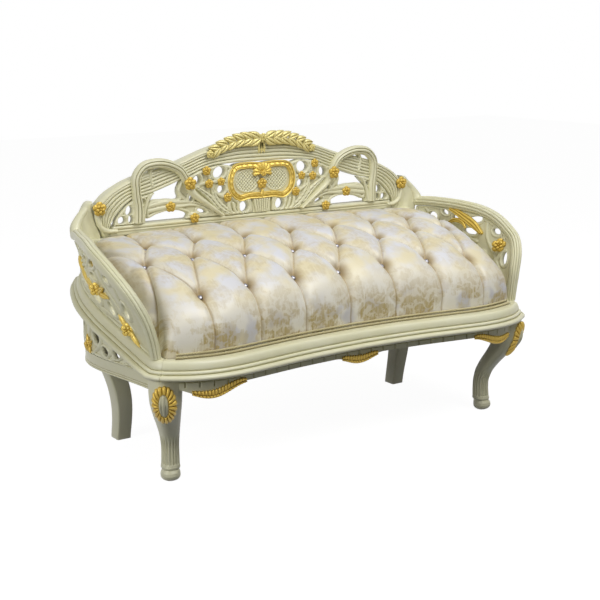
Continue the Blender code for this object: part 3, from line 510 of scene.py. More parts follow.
rearLeg = {
    "bevel": 0.8, "rings": 90, "blend": 9,
    "profile": [(0.0, 0.459, 0.2225, 0.0195, 0.0205), (0.05, 0.458, 0.212, 0.02, 0.021),
                (0.1, 0.461, 0.205, 0.0215, 0.023), (0.15, 0.468, 0.207, 0.023, 0.0245),
                (0.2, 0.483, 0.219, 0.024, 0.025), (0.236, 0.495, 0.233, 0.0205, 0.024),
                (0.3, 0.4975, 0.2475, 0.0222, 0.0225), (0.5295, 0.4975, 0.2475, 0.0225, 0.0225)]}


def rearLegs():  # square sabre leg with small rounded arrises, running up as the stile
    line = np.array(rearLeg["profile"])
    height = np.linspace(0, line[-1, 0], rearLeg["rings"])
    x, y, half, deep = [np.interp(height, line[:, 0], line[:, k]) for k in (1, 2, 3, 4)]
    soft = np.ones(rearLeg["blend"]) / rearLeg["blend"]
    x, y, half, deep = [np.convolve(np.pad(v, len(soft) // 2, "edge"), soft, "valid")
                        for v in (x, y, half, deep)]
    corner = np.linspace(0, math.pi / 2, 5)
    flat = rearLeg["bevel"]
    angle = np.concatenate([corner + k * math.pi / 2 for k in range(4)])
    ring = (1 - flat) * np.column_stack([np.cos(angle), np.sin(angle)])
    ring = ring + flat * np.repeat([(1, 1), (-1, 1), (-1, -1), (1, -1)], len(corner), axis=0)
    rings = np.stack([x[:, None] + half[:, None] * ring[:, 0], y[:, None] + deep[:, None] * ring[:, 1],
                      np.broadcast_to(height[:, None], (len(height), len(ring)))], -1)
    pair("rearLeg", tube(rings), ivoryCoat, "rear_leg", 40)


frontLegs()
rearLegs()
print("legs")


# Arms: rounded outer edge, reeds along the inner and upper face

arm = {
    "line": [(0.554, 0.2441, 0.5467), (0.5641, 0.205, 0.5501), (0.5788, 0.155, 0.5504),
             (0.5975, 0.078, 0.5473), (0.6108, 0.023, 0.5401), (0.6156, -0.042, 0.5224),
             (0.6119, -0.09, 0.4997), (0.605, -0.126, 0.4768), (0.591, -0.15, 0.4454),
             (0.572, -0.165, 0.401), (0.5585, -0.171, 0.35), (0.553, -0.172, 0.315)],
    "steps": 170, "slimFoot": 0.8, "half": 0.0148, "high": 0.0143, "under": 0.015, "around": 120,
    "square": 2.6, "reeds": 4, "reedFrom": 44, "reedSpan": 164, "reedDeep": 0.0042, "straight": 0.06,
    "slimFrom": 0.55, "footFrom": 0.95, "clear": 0.0006}


def armFrame(count):  # centre line, outward direction and upward direction of the right arm
    path = curve(arm["line"], count)
    tangent = unit(np.gradient(path, axis=0))
    blend = smooth(0, arm["straight"], np.linspace(0, 1, count))[:, None]
    tangent = unit(np.array([0, -1.0, 0]) * (1 - blend) + tangent * blend)
    out = unit(np.array([1.0, 0, 0]) - tangent * tangent[:, :1])
    up = unit(np.cross(tangent, out))
    return path, out, np.where((up[:, 2] - up[:, 1] < 0)[:, None], -up, up)


def armSection():  # superellipse, its inner and upper faces worked into reeds
    angle = np.linspace(0, tau, arm["around"], endpoint=False)
    c, s = np.cos(angle), np.sin(angle)
    size = (np.abs(c) ** arm["square"] + np.abs(s) ** arm["square"]) ** (-1 / arm["square"])
    t = (angle - math.radians(arm["reedFrom"])) / math.radians(arm["reedSpan"])  # 0 on top, 1 low inside
    local = (arm["reeds"] * t) % 1 * 2 - 1
    reed = arm["reedDeep"] * (1 - np.sqrt(np.clip(1 - local ** 2, 0, 1)))
    cut = np.where((t > 0) & (t < 1), reed, 0)
    return np.column_stack([(arm["half"] * size - cut) * c, (arm["high"] * size - cut) * s])


def armRails():  # the section carried along the arm, slimmed toward its foot, which sits on the rail
    path, out, up = armFrame(arm["steps"])
    gone = np.linspace(0, 1, arm["steps"])
    slim = np.interp(gone, [0, arm["slimFrom"], 1], [1, 1, arm["slimFoot"]])
    rings = carry(path, out, up, armSection()[None] * slim[:, None, None])
    foot = smooth(arm["footFrom"], 1.0, gone)[:, None]
    ground = seat["railTop"] + arm["clear"] + rise(rings[..., 1])
    rings[..., 2] = np.where(foot > 0, np.maximum(rings[..., 2], ground), rings[..., 2])
    rings[-1, :, 2] = ground[-1]
    pair("armRail", tube(rings), ivoryCoat, "arm_rail", 50)


armRails()
print("arms")


# Carved relief: a plate on a fine grid, cut by its outline and holes, raised by strokes

def oval(x, y, wide, high, turn=0.0, count=36):  # closed ellipse, turned in degrees
    angle = np.linspace(0, tau, count, endpoint=False)
    c, s = math.cos(math.radians(turn)), math.sin(math.radians(turn))
    u, v = wide * np.cos(angle), high * np.sin(angle)
    return np.column_stack([x + c * u - s * v, y + s * u + c * v])


def edgeDistance(points, loops):  # distance to the nearest loop, above 0 inside an odd number of them
    best = np.full(len(points), 9.0)
    odd = np.zeros(len(points), bool)
    for loop in loops:
        start = np.asarray(loop, float)
        run = np.roll(start, -1, axis=0) - start
        away = points[:, None] - start[None]
        t = np.clip((away * run).sum(-1) / np.maximum((run * run).sum(-1), 1e-16), 0, 1)
        best = np.minimum(best, np.linalg.norm(away - t[..., None] * run, axis=-1).min(1))
        high = run[:, 1] + start[:, 1] > points[:, 1:]
        cross = (start[:, 1] > points[:, 1:]) != high
        level = np.where(run[:, 1] == 0, 1.0, run[:, 1])
        odd ^= (cross & (away[..., 0] < run[:, 0] * away[..., 1] / level)).sum(1) % 2 == 1
    return np.where(odd, best, -best)


def nearStroke(points, line):  # signed distance to a line and the share of its length at the nearest point
    run = np.diff(line, axis=0)
    away = points[:, None] - line[None, :-1]
    t = np.clip((away * run).sum(-1) / (run * run).sum(-1), 0, 1)
    far = np.linalg.norm(away - t[..., None] * run, axis=-1)
    pick = far.argmin(1)
    row = np.arange(len(points))
    side = np.sign(run[pick, 0] * away[row, pick, 1] - run[pick, 1] * away[row, pick, 0])
    return side * far[row, pick], (pick + t[row, pick]) / len(run)


def strokeHeight(points, line, half, lift, kind="rod"):  # raised rod, pair of reeds or leaf along a line
    off, gone = nearStroke(points, curve(line, 48))
    s = off / np.interp(gone, np.linspace(0, 1, len(half)), half)
    crown = np.sqrt(np.clip(1 - s * s, 0, 1))
    if kind == "reed":
        local = (s + 1) % 1 * 2 - 1
        crown = np.clip(1 - s ** 8, 0, 1) * (0.35 + 0.65 * np.sqrt(np.clip(1 - local ** 2, 0, 1)))
    if kind == "leaf":
        veins = 0.5 + 0.5 * np.cos(tau * (gone * 9 - np.abs(s) * 1.3))
        crown = crown ** 0.7 * (1 - 0.42 * np.exp(-(s / 0.15) ** 2) - 0.16 * veins)
    return np.where(np.abs(s) < 1, lift * crown, -1.0)


def welded(points, quads, tris):  # corners that fall on one spot become one, and faces that fold shut go
    _, first, turn = np.unique(np.round(points, 7), axis=0, return_index=True, return_inverse=True)
    quads, tris = first[turn.ravel()][quads], first[turn.ravel()][tris]
    pinched = (np.diff(np.sort(quads, axis=1), axis=1) == 0).any(1)
    loose = quads[pinched & (quads[:, 1] != quads[:, 3]) & (quads[:, 0] != quads[:, 2])]
    tris = np.vstack([tris, loose[:, [0, 1, 2]], loose[:, [0, 2, 3]]])
    return [quads[~pinched], tris[(np.diff(np.sort(tris, axis=1), axis=1) != 0).all(1)]]


def reliefGrid(outline, holes, step):  # flat points, kept faces and the depth inside the edge
    outline = np.asarray(outline, float)
    low, high = outline.min(0) - 1.5 * step, outline.max(0) + 1.5 * step
    cols, rows = (np.ceil((high - low) / step) + 1).astype(int)
    u, v = np.meshgrid(low[0] + step * np.arange(cols), low[1] + step * np.arange(rows))
    points = np.column_stack([u.ravel(), v.ravel()])
    loops = [outline] + list(holes)
    depth = edgeDistance(points, loops)
    dv, du = np.gradient(depth.reshape(rows, cols), step)
    slope = unit(np.column_stack([du.ravel(), dv.ravel()]))
    reach = 0.6 * step  # points this close move onto the edge
    near = np.abs(depth) < reach
    points = np.where(near[:, None], points - slope * depth[:, None], points)
    kept = (depth > 0) | near
    quads = gridFaces(rows, cols)
    sure = kept[quads]
    deep = (depth[quads] > reach).any(1)
    whole = quads[sure.all(1) & (deep | (edgeDistance(points[quads].mean(1), loops) > 0))]
    three = quads[(sure.sum(1) == 3) & deep]
    order = np.argsort(kept[three], axis=1, kind="stable")[:, 0]  # the corner left out
    tris = np.stack([three[np.arange(len(three)), (order + k) % 4] for k in (1, 2, 3)], 1)
    return points, welded(points, whole, tris), np.where(near, 0.0, np.maximum(depth, 0))


def rims(faces):  # directed edges that only one face has
    ends = np.concatenate([np.stack([f, np.roll(f, -1, axis=1)], -1).reshape(-1, 2) for f in faces])
    code = ends[:, 0].astype(np.int64) * (ends.max() + 1) + ends[:, 1]
    reverse = ends[:, 1].astype(np.int64) * (ends.max() + 1) + ends[:, 0]
    return ends[~np.isin(code, reverse)]


def relief(outline, holes, strokes, toSpace, front, rear, step=0.0016, soft=0.004, rim=0.0, wide=0.0045,
           both=False, more=None):  # toSpace(u, v, out) carries the plate to its place
    flat, faces, depth = reliefGrid(outline, holes, step)
    level = np.zeros(len(flat))
    for stroke in strokes:
        level = np.maximum(level, strokeHeight(flat, *stroke))
    if rim:
        bead = np.sqrt(np.clip(1 - ((depth - wide) / wide) ** 2, 0, 1)) * rim
        level = np.maximum(level, np.where(depth < 2 * wide, bead, 0))
    if more is not None:
        level = more(flat[:, 0], flat[:, 1], level)
    edge = soft - np.sqrt(np.clip(soft ** 2 - (soft - np.minimum(depth, soft)) ** 2, 0, None))
    ahead = toSpace(flat[:, 0], flat[:, 1], front + level - edge)
    behind = toSpace(flat[:, 0], flat[:, 1], rear - (level if both else 0) + edge * (1 if both else 0.5))
    count = len(flat)
    walls = rims(faces)
    sides = np.stack([walls[:, 1], walls[:, 0], walls[:, 0] + count, walls[:, 1] + count], 1)
    allFaces = faces + [f[:, ::-1] + count for f in faces] + [sides]
    used = np.unique(np.concatenate([f.ravel() for f in allFaces]))
    renumber = np.zeros(2 * count, np.int64)
    renumber[used] = np.arange(len(used))
    return np.vstack([ahead, behind])[used], [renumber[f] for f in allFaces]


# Back: plane and edges of the crest

back = {
    "face": 0.2445, "rear": 0.2808, "panelRear": 0.268, "foot": 0.5585, "web": 0.016, "tuck": 0.001,
    "upper": [(0, 0.763), (0.09, 0.758), (0.17, 0.739), (0.255, 0.7105), (0.34, 0.69), (0.426, 0.662),
              (0.476, 0.631), (0.498, 0.603), (0.49, 0.566), (0.478, 0.5305)],
    "lower": [(0, 0.699), (0.09, 0.6985), (0.168, 0.692), (0.245, 0.665), (0.325, 0.638), (0.398, 0.62),
              (0.433, 0.593), (0.45, 0.572), (0.4595, 0.556), (0.4615, 0.5305)]}


def onBack(u, v, out):  # the back's plane: across, up and out toward the sitter
    return np.column_stack([u, back["face"] - out, v])


def crestFoot(x):  # height of the crest's lower edge
    line = curve(back["lower"], 200)
    return np.interp(x, line[:, 0], line[:, 1])


def wholeLine(half):  # a half line from the middle outward, made whole from left to right
    return np.vstack([half[:0:-1] * [-1, 1], half])


crest = {
    "steps": 190, "reeds": 5, "reedSink": 0.0042, "reedDeep": 0.0058, "lipFrom": 0.84, "lipGap": 0.006,
    "lipOut": 0.0015, "topRound": 0.012, "rearShare": 0.1, "rearRound": 0.006, "footShare": 0.06,
    "footRound": 0.004}


def crestRail():  # five half-round reeds under a broad lip that rolls over to the rear
    upper = wholeLine(curve(back["upper"], crest["steps"]))
    lower = wholeLine(curve(back["lower"], crest["steps"]))
    t = np.linspace(0, crest["lipFrom"], crest["reeds"] * 12 + 1)
    local = (t / crest["lipFrom"] * crest["reeds"]) % 1 * 2 - 1
    face = back["face"] + crest["reedSink"] - crest["reedDeep"] * np.sqrt(np.clip(1 - local ** 2, 0, 1))
    roll = np.linspace(0, math.pi / 2, 14)
    lipFoot = crest["lipFrom"] + crest["lipGap"]
    lipT = lipFoot + (1 - lipFoot) * np.sin(roll)
    lipY = back["face"] - crest["lipOut"] + crest["topRound"] * (1 - np.cos(roll))
    over = np.linspace(0, math.pi / 2, 10)
    rearT = 1 - crest["rearShare"] * (1 - np.cos(over))
    rearY = back["rear"] - crest["rearRound"] * (1 - np.sin(over))
    under = np.linspace(0, math.pi / 2, 6)
    lowT = crest["footShare"] * (1 - np.sin(under))
    lowY = back["rear"] - crest["footRound"] * (1 - np.cos(under))
    section = np.column_stack([np.r_[t, lipT, rearT, lowT], np.r_[face, lipY, rearY, lowY]])
    ends = lower[:, None] + section[None, :, :1] * (upper - lower)[:, None]
    depth = np.broadcast_to(section[None, :, 1], ends.shape[:2])
    rings = np.stack([ends[..., 0], depth, ends[..., 1]], -1)
    place("crestRail", tube(rings), ivoryCoat, ["crest_rail"], 55)


crestRail()
print("crest")


loop = {
    "line": [(0.38, 0.5605), (0.379, 0.6), (0.384, 0.645), (0.382, 0.681), (0.362, 0.704), (0.33, 0.7115),
             (0.288, 0.706), (0.254, 0.688), (0.236, 0.66), (0.217, 0.626), (0.18, 0.598), (0.128, 0.5605)],
    "half": [0.0132, 0.0126, 0.0122, 0.0128, 0.0132, 0.013, 0.0122, 0.011, 0.0086, 0.0062, 0.004],
    "strut": [(0.335, 0.652), (0.34, 0.677), (0.3385, 0.692), (0.327, 0.702), (0.305, 0.7045)],
    "steps": 150, "around": 48, "out": 0.0035, "deep": 0.0135, "flute": 0.0052,
    "strutHalf": [0.006, 0.006, 0.005, 0.003], "strutIn": 0.006, "strutDeep": 0.009, "strutSteps": 40}


def rodOnBack(line, half, count, middle, deep, flute=0.0, around=28):  # oval rod, plain or with two flutes
    line = curve(line, count)
    gone = np.linspace(0, 1, count)
    half = np.interp(gone, np.linspace(0, 1, len(half)), half)[:, None]
    angle = np.linspace(0, tau, around, endpoint=False)[None]
    groove = flute * np.exp(-((np.cos(angle) ** 2 - 0.14) / 0.08) ** 2) * (np.sin(angle) > 0)
    groove = groove * smooth(0.8, 0.58, gone)[:, None] if flute else 0.0
    tangent = unit(np.gradient(line, axis=0))
    across = np.column_stack([tangent[:, 1], -tangent[:, 0]])
    size = half * np.cos(angle)
    x = line[:, :1] + across[:, :1] * size
    z = line[:, 1:] + across[:, 1:] * size
    y = middle - (deep - groove) * np.sin(angle) * np.ones_like(half)
    return np.stack([x, y, z], -1)


def loopBranches():  # bent branch over the crest, fluted on its rising leg, and the strut inside it
    branch = rodOnBack(loop["line"], loop["half"], loop["steps"], back["face"] - loop["out"], loop["deep"],
                       loop["flute"], loop["around"])
    strut = rodOnBack(loop["strut"], loop["strutHalf"], loop["strutSteps"], back["face"] + loop["strutIn"],
                      loop["strutDeep"])
    pair("loopBranch", joined([tube(branch), tube(strut)]), ivoryCoat, "loop_branch")


loopBranches()
print("loops")


tracery = {
    "rim": 0.0042, "stem": [(0.031, 0.5585), (0.0315, 0.585)], "besideFrom": 0.032, "besideWide": 0.088,
    "besideLevel": 0.648, "top": [0.12, 0.145, 0.17, 0.2, 0.23, 0.252],
    "window": [(0.262, 0.642), (0.263, 0.631), (0.259, 0.6185), (0.3, 0.6165), (0.3475, 0.61),
               (0.3555, 0.588), (0.3555, 0.57), (0.325, 0.578), (0.29, 0.584), (0.25, 0.5805),
               (0.233, 0.571), (0.24, 0.5605), (0.244, 0.5585)],
    "holes": [(0.204, 0.658, 0.0105, 0.014, 25), (0.1345, 0.676, 0.0185, 0.0145, -20),
              (0.129, 0.63, 0.011, 0.0105, 0), (0.058, 0.5775, 0.0145, 0.014, 0),
              (0.19, 0.5765, 0.014, 0.0048, 18), (0.221, 0.616, 0.005, 0.0125, 25),
              (0.142, 0.5715, 0.012, 0.0042, 12)],
    "strokes": [([(0.205, 0.64), (0.166, 0.611), (0.134, 0.577), (0.092, 0.556)],
                 [0.004, 0.0095, 0.008, 0.004], 0.0085, "leaf"),
                ([(0.16, 0.645), (0.149, 0.61), (0.118, 0.576), (0.08, 0.556)],
                 [0.003, 0.009, 0.0085, 0.004], 0.007, "leaf"),
                ([(0.106, 0.6), (0.104, 0.576), (0.09, 0.556)], [0.004, 0.0055, 0.004], 0.0075),
                ([(0.093, 0.59), (0.088, 0.572), (0.076, 0.556)], [0.004, 0.005, 0.004], 0.0062),
                ([(0.08, 0.596), (0.072, 0.574), (0.062, 0.556)], [0.003, 0.005, 0.0045], 0.007),
                ([(0.044, 0.6), (0.0445, 0.578), (0.047, 0.556)], [0.003, 0.0048, 0.0045], 0.0062),
                ([(0.358, 0.5935), (0.304, 0.6005), (0.253, 0.6), (0.217, 0.599), (0.175, 0.584),
                  (0.132, 0.562)], [0.0135, 0.0145, 0.013, 0.0085, 0.006, 0.0035], 0.0062, "reed"),
                ([(0.25, 0.566), (0.218, 0.5675), (0.186, 0.571), (0.154, 0.572), (0.112, 0.558)],
                 [0.006, 0.009, 0.0075, 0.005, 0.003], 0.006, "leaf"),
                ([(0.166, 0.694), (0.163, 0.672), (0.16, 0.648)], [0.004, 0.0085, 0.003], 0.0065, "leaf"),
                ([(0.244, 0.662), (0.226, 0.676), (0.198, 0.684), (0.17, 0.686)],
                 [0.003, 0.0065, 0.0065, 0.003], 0.005, "leaf"),
                ([(0.216, 0.65), (0.196, 0.648), (0.172, 0.652)], [0.003, 0.006, 0.004], 0.0052),
                ([(0.168, 0.648), (0.148, 0.652), (0.118, 0.65)], [0.004, 0.0055, 0.004], 0.0052),
                ([(0.15, 0.625), (0.136, 0.616), (0.112, 0.606)], [0.003, 0.0055, 0.004], 0.0052),
                ([(0.262, 0.64), (0.252, 0.622), (0.228, 0.604)], [0.003, 0.0058, 0.004], 0.005)]}
cartouche = {
    "half": [(0, 0.6935), (0.048, 0.6965), (0.088, 0.6895), (0.1065, 0.652), (0.099, 0.617), (0.07, 0.5955),
             (0.04, 0.599), (0, 0.5985)],
    "lobe": (0.0465, 0.647, 0.036, 0.0295), "pitch": 0.01, "step": 0.0011, "soft": 0.002, "net": 0.0012,
    "knot": 0.003, "rimLift": 0.003, "rimAt": 1.02, "rimHalf": 0.075}
cornerWeb = {
    "top": (0.33, 0.355, 0.38), "step": 0.0012, "rim": 0.0038,
    "outline": [(0.398, 0.6175), (0.414, 0.605), (0.43, 0.59), (0.444, 0.572), (0.447, 0.5585),
                (0.358, 0.5585), (0.357, 0.59), (0.349, 0.615), (0.329, 0.6335)],
    "holes": [(0.4045, 0.594, 0.0095, 0.0125, 20), (0.401, 0.571, 0.007, 0.0095, 0),
              (0.426, 0.5705, 0.0105, 0.009, 0), (0.365, 0.614, 0.005, 0.0065, 15)],
    "strokes": [([(0.3725, 0.556), (0.366, 0.576), (0.3595, 0.594), (0.35, 0.615), (0.339, 0.642)],
                 [0.008, 0.008, 0.0075, 0.007, 0.006], 0.0085),
                ([(0.3925, 0.556), (0.3925, 0.585), (0.3935, 0.612), (0.396, 0.628)],
                 [0.006, 0.005, 0.0048, 0.004], 0.006),
                ([(0.41, 0.556), (0.412, 0.582), (0.418, 0.6), (0.412, 0.614)],
                 [0.005, 0.005, 0.0055, 0.004], 0.0055, "leaf"),
                ([(0.4, 0.5595), (0.424, 0.56), (0.446, 0.56)], [0.004, 0.0042, 0.004], 0.0045),
                ([(0.446, 0.56), (0.44, 0.578), (0.426, 0.596), (0.408, 0.614)],
                 [0.004, 0.0045, 0.0045, 0.004], 0.005)]}


def cartoucheRing(count):  # the cartouche's outline, closed, from a half of so many points
    half = curve(cartouche["half"], count)
    return np.vstack([half, half[-2:0:-1] * [-1, 1]])


def backTracery():  # web between the cartouche, the crest, the window under the loop and the bottom rail
    line = curve(cartouche["half"], 80)
    met = (line[:, 1] < tracery["besideLevel"]) | (line[:, 0] > tracery["besideWide"])  # low or far out
    beside = line[(line[:, 0] > tracery["besideFrom"]) & met]
    top = [(x, crestFoot(x) - back["tuck"]) for x in tracery["top"]]
    edge = curve(tracery["window"], 70)
    outline = np.vstack([top, edge, tracery["stem"], beside[::-1]])[::-1]
    holes = [oval(*hole) for hole in tracery["holes"]]
    shape = relief(outline, holes, tracery["strokes"], onBack, 0.0, -back["web"], rim=tracery["rim"])
    pair("backTracery", shape, ivoryCoat, "back_tracery")


def backCorners():  # web between the loop's rising leg, the crest's foot and the bottom rail
    top = [(x, crestFoot(x) - back["tuck"]) for x in cornerWeb["top"]]
    outline = np.vstack([top, cornerWeb["outline"]])[::-1]
    holes = [oval(*hole) for hole in cornerWeb["holes"]]
    shape = relief(outline, holes, cornerWeb["strokes"], onBack, 0.0, -back["web"],
                   step=cornerWeb["step"], rim=cornerWeb["rim"], wide=cornerWeb["rim"])
    pair("backCorner", shape, ivoryCoat, "back_corner")


backTracery()
backCorners()
print("pierced work")


post = {
    "outer": [(0.5015, 0.6245), (0.512, 0.6235), (0.528, 0.61), (0.54, 0.5925), (0.548, 0.5745),
              (0.551, 0.56)],
    "inner": [(0.5045, 0.604), (0.4965, 0.572), (0.4845, 0.541), (0.481, 0.512)],
    "foot": [(0.4955, 0.6), (0.4925, 0.577), (0.483, 0.556), (0.466, 0.5465), (0.44, 0.5445)],
    "shoulder": [(0.556, 0.238, 0.5455), (0.553, 0.247, 0.561), (0.541, 0.253, 0.581),
                 (0.5265, 0.256, 0.598), (0.5115, 0.258, 0.6105), (0.5, 0.259, 0.615)],
    "round": [0.0146, 0.0142, 0.0122, 0.0104, 0.0088, 0.006], "heel": [(0.55, 0.548), (0.548, 0.512)],
    "footHalf": [0.006, 0.0066, 0.0066, 0.0055], "footIn": 0.001, "footDeep": 0.0075, "soft": 0.009,
    "coveDeep": 0.006, "coveAt": (0.512, 0.57), "coveLean": 0.3, "coveHalf": 0.014, "ahead": 0.01,
    "aheadFrom": (0.535, 0.562), "aheadDown": (0.6, 0.56), "thin": 0.92, "thinFrom": (0.505, 0.568)}
bottomRail = {
    "low": 0.5305, "high": 0.5575, "half": 0.46, "mitre": 0.022, "cut": 0.012, "ends": 0.004, "soft": 0.002,
    "beads": [(0.005, 0.0048, 0.0035), (0.0135, 0.003, 0.0018)]}


def postRoll():  # round sweep that carries the arm up into the post
    steps, around = 60, 28
    path = curve(post["shoulder"], steps)
    tangent = unit(np.gradient(path, axis=0))
    across = unit(np.array([0, 1.0, 0]) - tangent * tangent[:, 1:2])
    angle = np.linspace(0, tau, around, endpoint=False)
    size = np.interp(np.linspace(0, 1, steps), np.linspace(0, 1, len(post["round"])), post["round"])
    section = size[:, None, None] * np.column_stack([np.cos(angle), np.sin(angle)])[None]
    return tube(carry(path, across, np.cross(tangent, across), section))


def backPosts():  # shaped block with softened edges and a hollowed face
    outline = np.vstack([curve(post["outer"], 40), post["heel"], curve(post["inner"], 30)[::-1]])

    def hollowed(x, z, level):  # cove beside the crest, and a shoulder that comes forward to the arm
        middle = post["coveAt"][0] + post["coveLean"] * (z - post["coveAt"][1])
        cove = post["coveDeep"] * np.exp(-((x - middle) / post["coveHalf"]) ** 2)
        return level - cove + post["ahead"] * smooth(*post["aheadFrom"], x) * smooth(*post["aheadDown"], z)

    def onPost(u, v, out):  # thick beside the crest, thin at its outer edge
        thinned = out * (1 - post["thin"] * smooth(*post["thinFrom"], u))
        return onBack(u, v, np.where(out < 0, thinned, out))

    deep = back["face"] - back["rear"]
    block = relief(outline[::-1], [], [], onPost, 0.0, deep, soft=post["soft"], more=hollowed)
    foot = rodOnBack(post["foot"], post["footHalf"], 70, back["face"] + post["footIn"], post["footDeep"])
    pair("backPost", joined([block, postRoll()]), ivoryCoat, "back_post", 50)
    pair("crestFoot", tube(foot), ivoryCoat)


def backBottomRail():  # plain rail with a bead along its upper edge and a fillet below
    low, high, half = (bottomRail[key] for key in ("low", "high", "half"))
    mitre, cut, ends = (bottomRail[key] for key in ("mitre", "cut", "ends"))
    outline = [(-half, low), (half, low), (half, high - mitre), (half - cut, high), (cut - half, high),
               (-half, high - mitre)]
    strokes = []
    for down, wide, lift in bottomRail["beads"]:
        line = [(x, high - down) for x in (ends - half, 0, half - ends)]
        strokes.append((line, [wide] * 2, lift))
    deep = back["face"] - back["rear"]
    shape = relief(outline, [], strokes, onBack, 0.0, deep, soft=bottomRail["soft"])
    place("backBottomRail", shape, ivoryCoat, ["back_bottom_rail"], 50)


backPosts()
backBottomRail()
print("posts and bottom rail")


# Cartouche

def cartouchePanel():  # two oval lobes of beaded lattice on a plain ground, each in a raised rim
    cx, cz, wide, high = cartouche["lobe"]

    def beadedNet(x, z, level):  # diagonal ribs with a bead where they cross; the ground stays level
        reach = np.hypot((np.abs(x) - cx) / wide, (z - cz) / high)
        a = np.cos(math.pi * (x + z) / cartouche["pitch"]) ** 2
        b = np.cos(math.pi * (x - z) / cartouche["pitch"]) ** 2
        net = cartouche["net"] * np.maximum(a, b) ** 2 + cartouche["knot"] * (a * b) ** 1.5
        rim = cartouche["rimLift"] * np.exp(-((reach - cartouche["rimAt"]) / cartouche["rimHalf"]) ** 2)
        return level + np.where(reach < 1, net * smooth(1.0, 0.9, reach), 0) + rim

    shape = relief(cartoucheRing(90)[::-1], [], [], onBack, 0.0, back["face"] - back["panelRear"],
                   step=cartouche["step"], soft=cartouche["soft"], more=beadedNet)
    place("cartouchePanel", shape, ivoryCoat, ["cartouche_panel"])


stem = {
    "outline": [(-0.0285, 0.5585), (0.0285, 0.5585), (0.03, 0.578), (0.0285, 0.596), (0, 0.5965),
                (-0.0285, 0.596), (-0.03, 0.578)],
    "rods": 7, "spread": 0.0258, "run": [(0.62, 0.556), (0.8, 0.578), (1, 0.604)],
    "half": [0.003, 0.0038, 0.0042], "lift": 0.0062}


def cartoucheStem():  # fan of rods that spread from the foot to the frame
    strokes = [([(share * x, z) for share, z in stem["run"]], stem["half"], stem["lift"])
               for x in np.linspace(-stem["spread"], stem["spread"], stem["rods"])]
    shape = relief(stem["outline"], [], strokes, onBack, 0.0, back["face"] - back["panelRear"],
                   step=cartouche["step"], soft=cartouche["soft"])
    place("cartoucheStem", shape, ivoryCoat, ["cartouche_stem"])


scroll = {
    "across": [0.0, 0.0006, 0.0022, 0.004, 0.0052, 0.0062, 0.0085, 0.011, 0.0124, 0.0138, 0.0152, 0.016,
               0.016],
    "lift": [0.0, 0.0042, 0.0068, 0.0062, 0.0042, 0.0052, 0.007, 0.0078, 0.006, 0.0076, 0.0064, 0.0034,
             0.0],
    "steps": 150, "middle": (0, 0.647), "grow": (1.035, 1.05), "wide": 1.12, "sink": 0.0003, "ribs": 32,
    "ribLift": 0.0012, "coveAt": 0.009, "coveHalf": 0.0026,
    "peak": {"length": 0.024, "wide": 0.011, "lift": 0.006, "out": 0.004, "foot": 0.6}}


def cartoucheFrame():  # gilded scroll closed on itself: two beads with a ribbed cove between them
    ring = (cartoucheRing(scroll["steps"]) - scroll["middle"]) * scroll["grow"]
    tangent = unit(np.roll(ring, -1, axis=0) - np.roll(ring, 1, axis=0))
    out = np.column_stack([-tangent[:, 1], tangent[:, 0]])
    out = out * np.sign((ring * out).sum(1, keepdims=True))
    across, lift = np.array(scroll["across"]), np.array(scroll["lift"])
    ribs = np.cos(np.linspace(0, scroll["ribs"] * tau, len(ring), endpoint=False))[:, None]
    inCove = np.exp(-((across - scroll["coveAt"]) / scroll["coveHalf"]) ** 2)[None]
    raised = lift[None] + scroll["ribLift"] * ribs * inCove
    flat = ring[:, None] + scroll["middle"] - out[:, None] * (scroll["wide"] * across)[None, :, None]
    rings = np.stack([flat[..., 0], back["face"] - scroll["sink"] - raised, flat[..., 1]], -1)
    tip = scroll["peak"]
    peak = leafShape(tip["length"], tip["wide"], tip["lift"], (0, back["face"] - tip["out"], tip["foot"]),
                     (0, 0, 1), (1, 0, 0))
    place("cartoucheFrame", joined([tube(rings, True), peak]), brightGold, ["cartouche_frame"])


leafForm = {
    "rows": 13, "cols": 9, "least": 0.0004, "edge": 0.0008, "veins": 5, "veinDeep": 0.14, "midrib": 0.4,
    "midribHalf": 0.2}


def leafShape(length, wide, lift, base, ahead, across, bend=0.0):  # pointed leaf with a midrib and veins
    t = np.linspace(0, 1, leafForm["rows"])[:, None]
    s = np.linspace(-1, 1, leafForm["cols"])[None]
    half = wide / 2 * np.sin(math.pi * t ** 0.72) ** 0.85 + leafForm["least"]
    wave = 0.5 + 0.5 * np.cos(tau * (t * leafForm["veins"] - np.abs(s) * 0.9))
    veins = 1 - leafForm["veinDeep"] * wave
    rounded = np.sqrt(np.clip(1 - (0.92 * s) ** 2, 0, 1))
    high = lift * np.sin(math.pi * (0.08 + 0.86 * t)) ** 0.6 * rounded * veins
    high = high * (1 - leafForm["midrib"] * np.exp(-(s / leafForm["midribHalf"]) ** 2))
    ahead, across = unit(np.array(ahead, float)), unit(np.array(across, float))
    normal = np.cross(across, ahead)
    low = np.array(base) + (length * t)[..., None] * ahead + (half * s + bend * t * t)[..., None] * across
    top = low + (high + leafForm["edge"])[..., None] * normal
    return tube(np.concatenate([top, low[:, ::-1]], axis=1))


shell = {
    "rays": 9, "over": 0.35, "reach": 0.0265, "wide": 1.06, "middle": 0.668, "dome": 0.0165, "fall": 0.0075,
    "rib": 0.0016, "rear": 0.001, "hub": 0.0085, "hubOut": 0.011, "hubAt": 0.666}


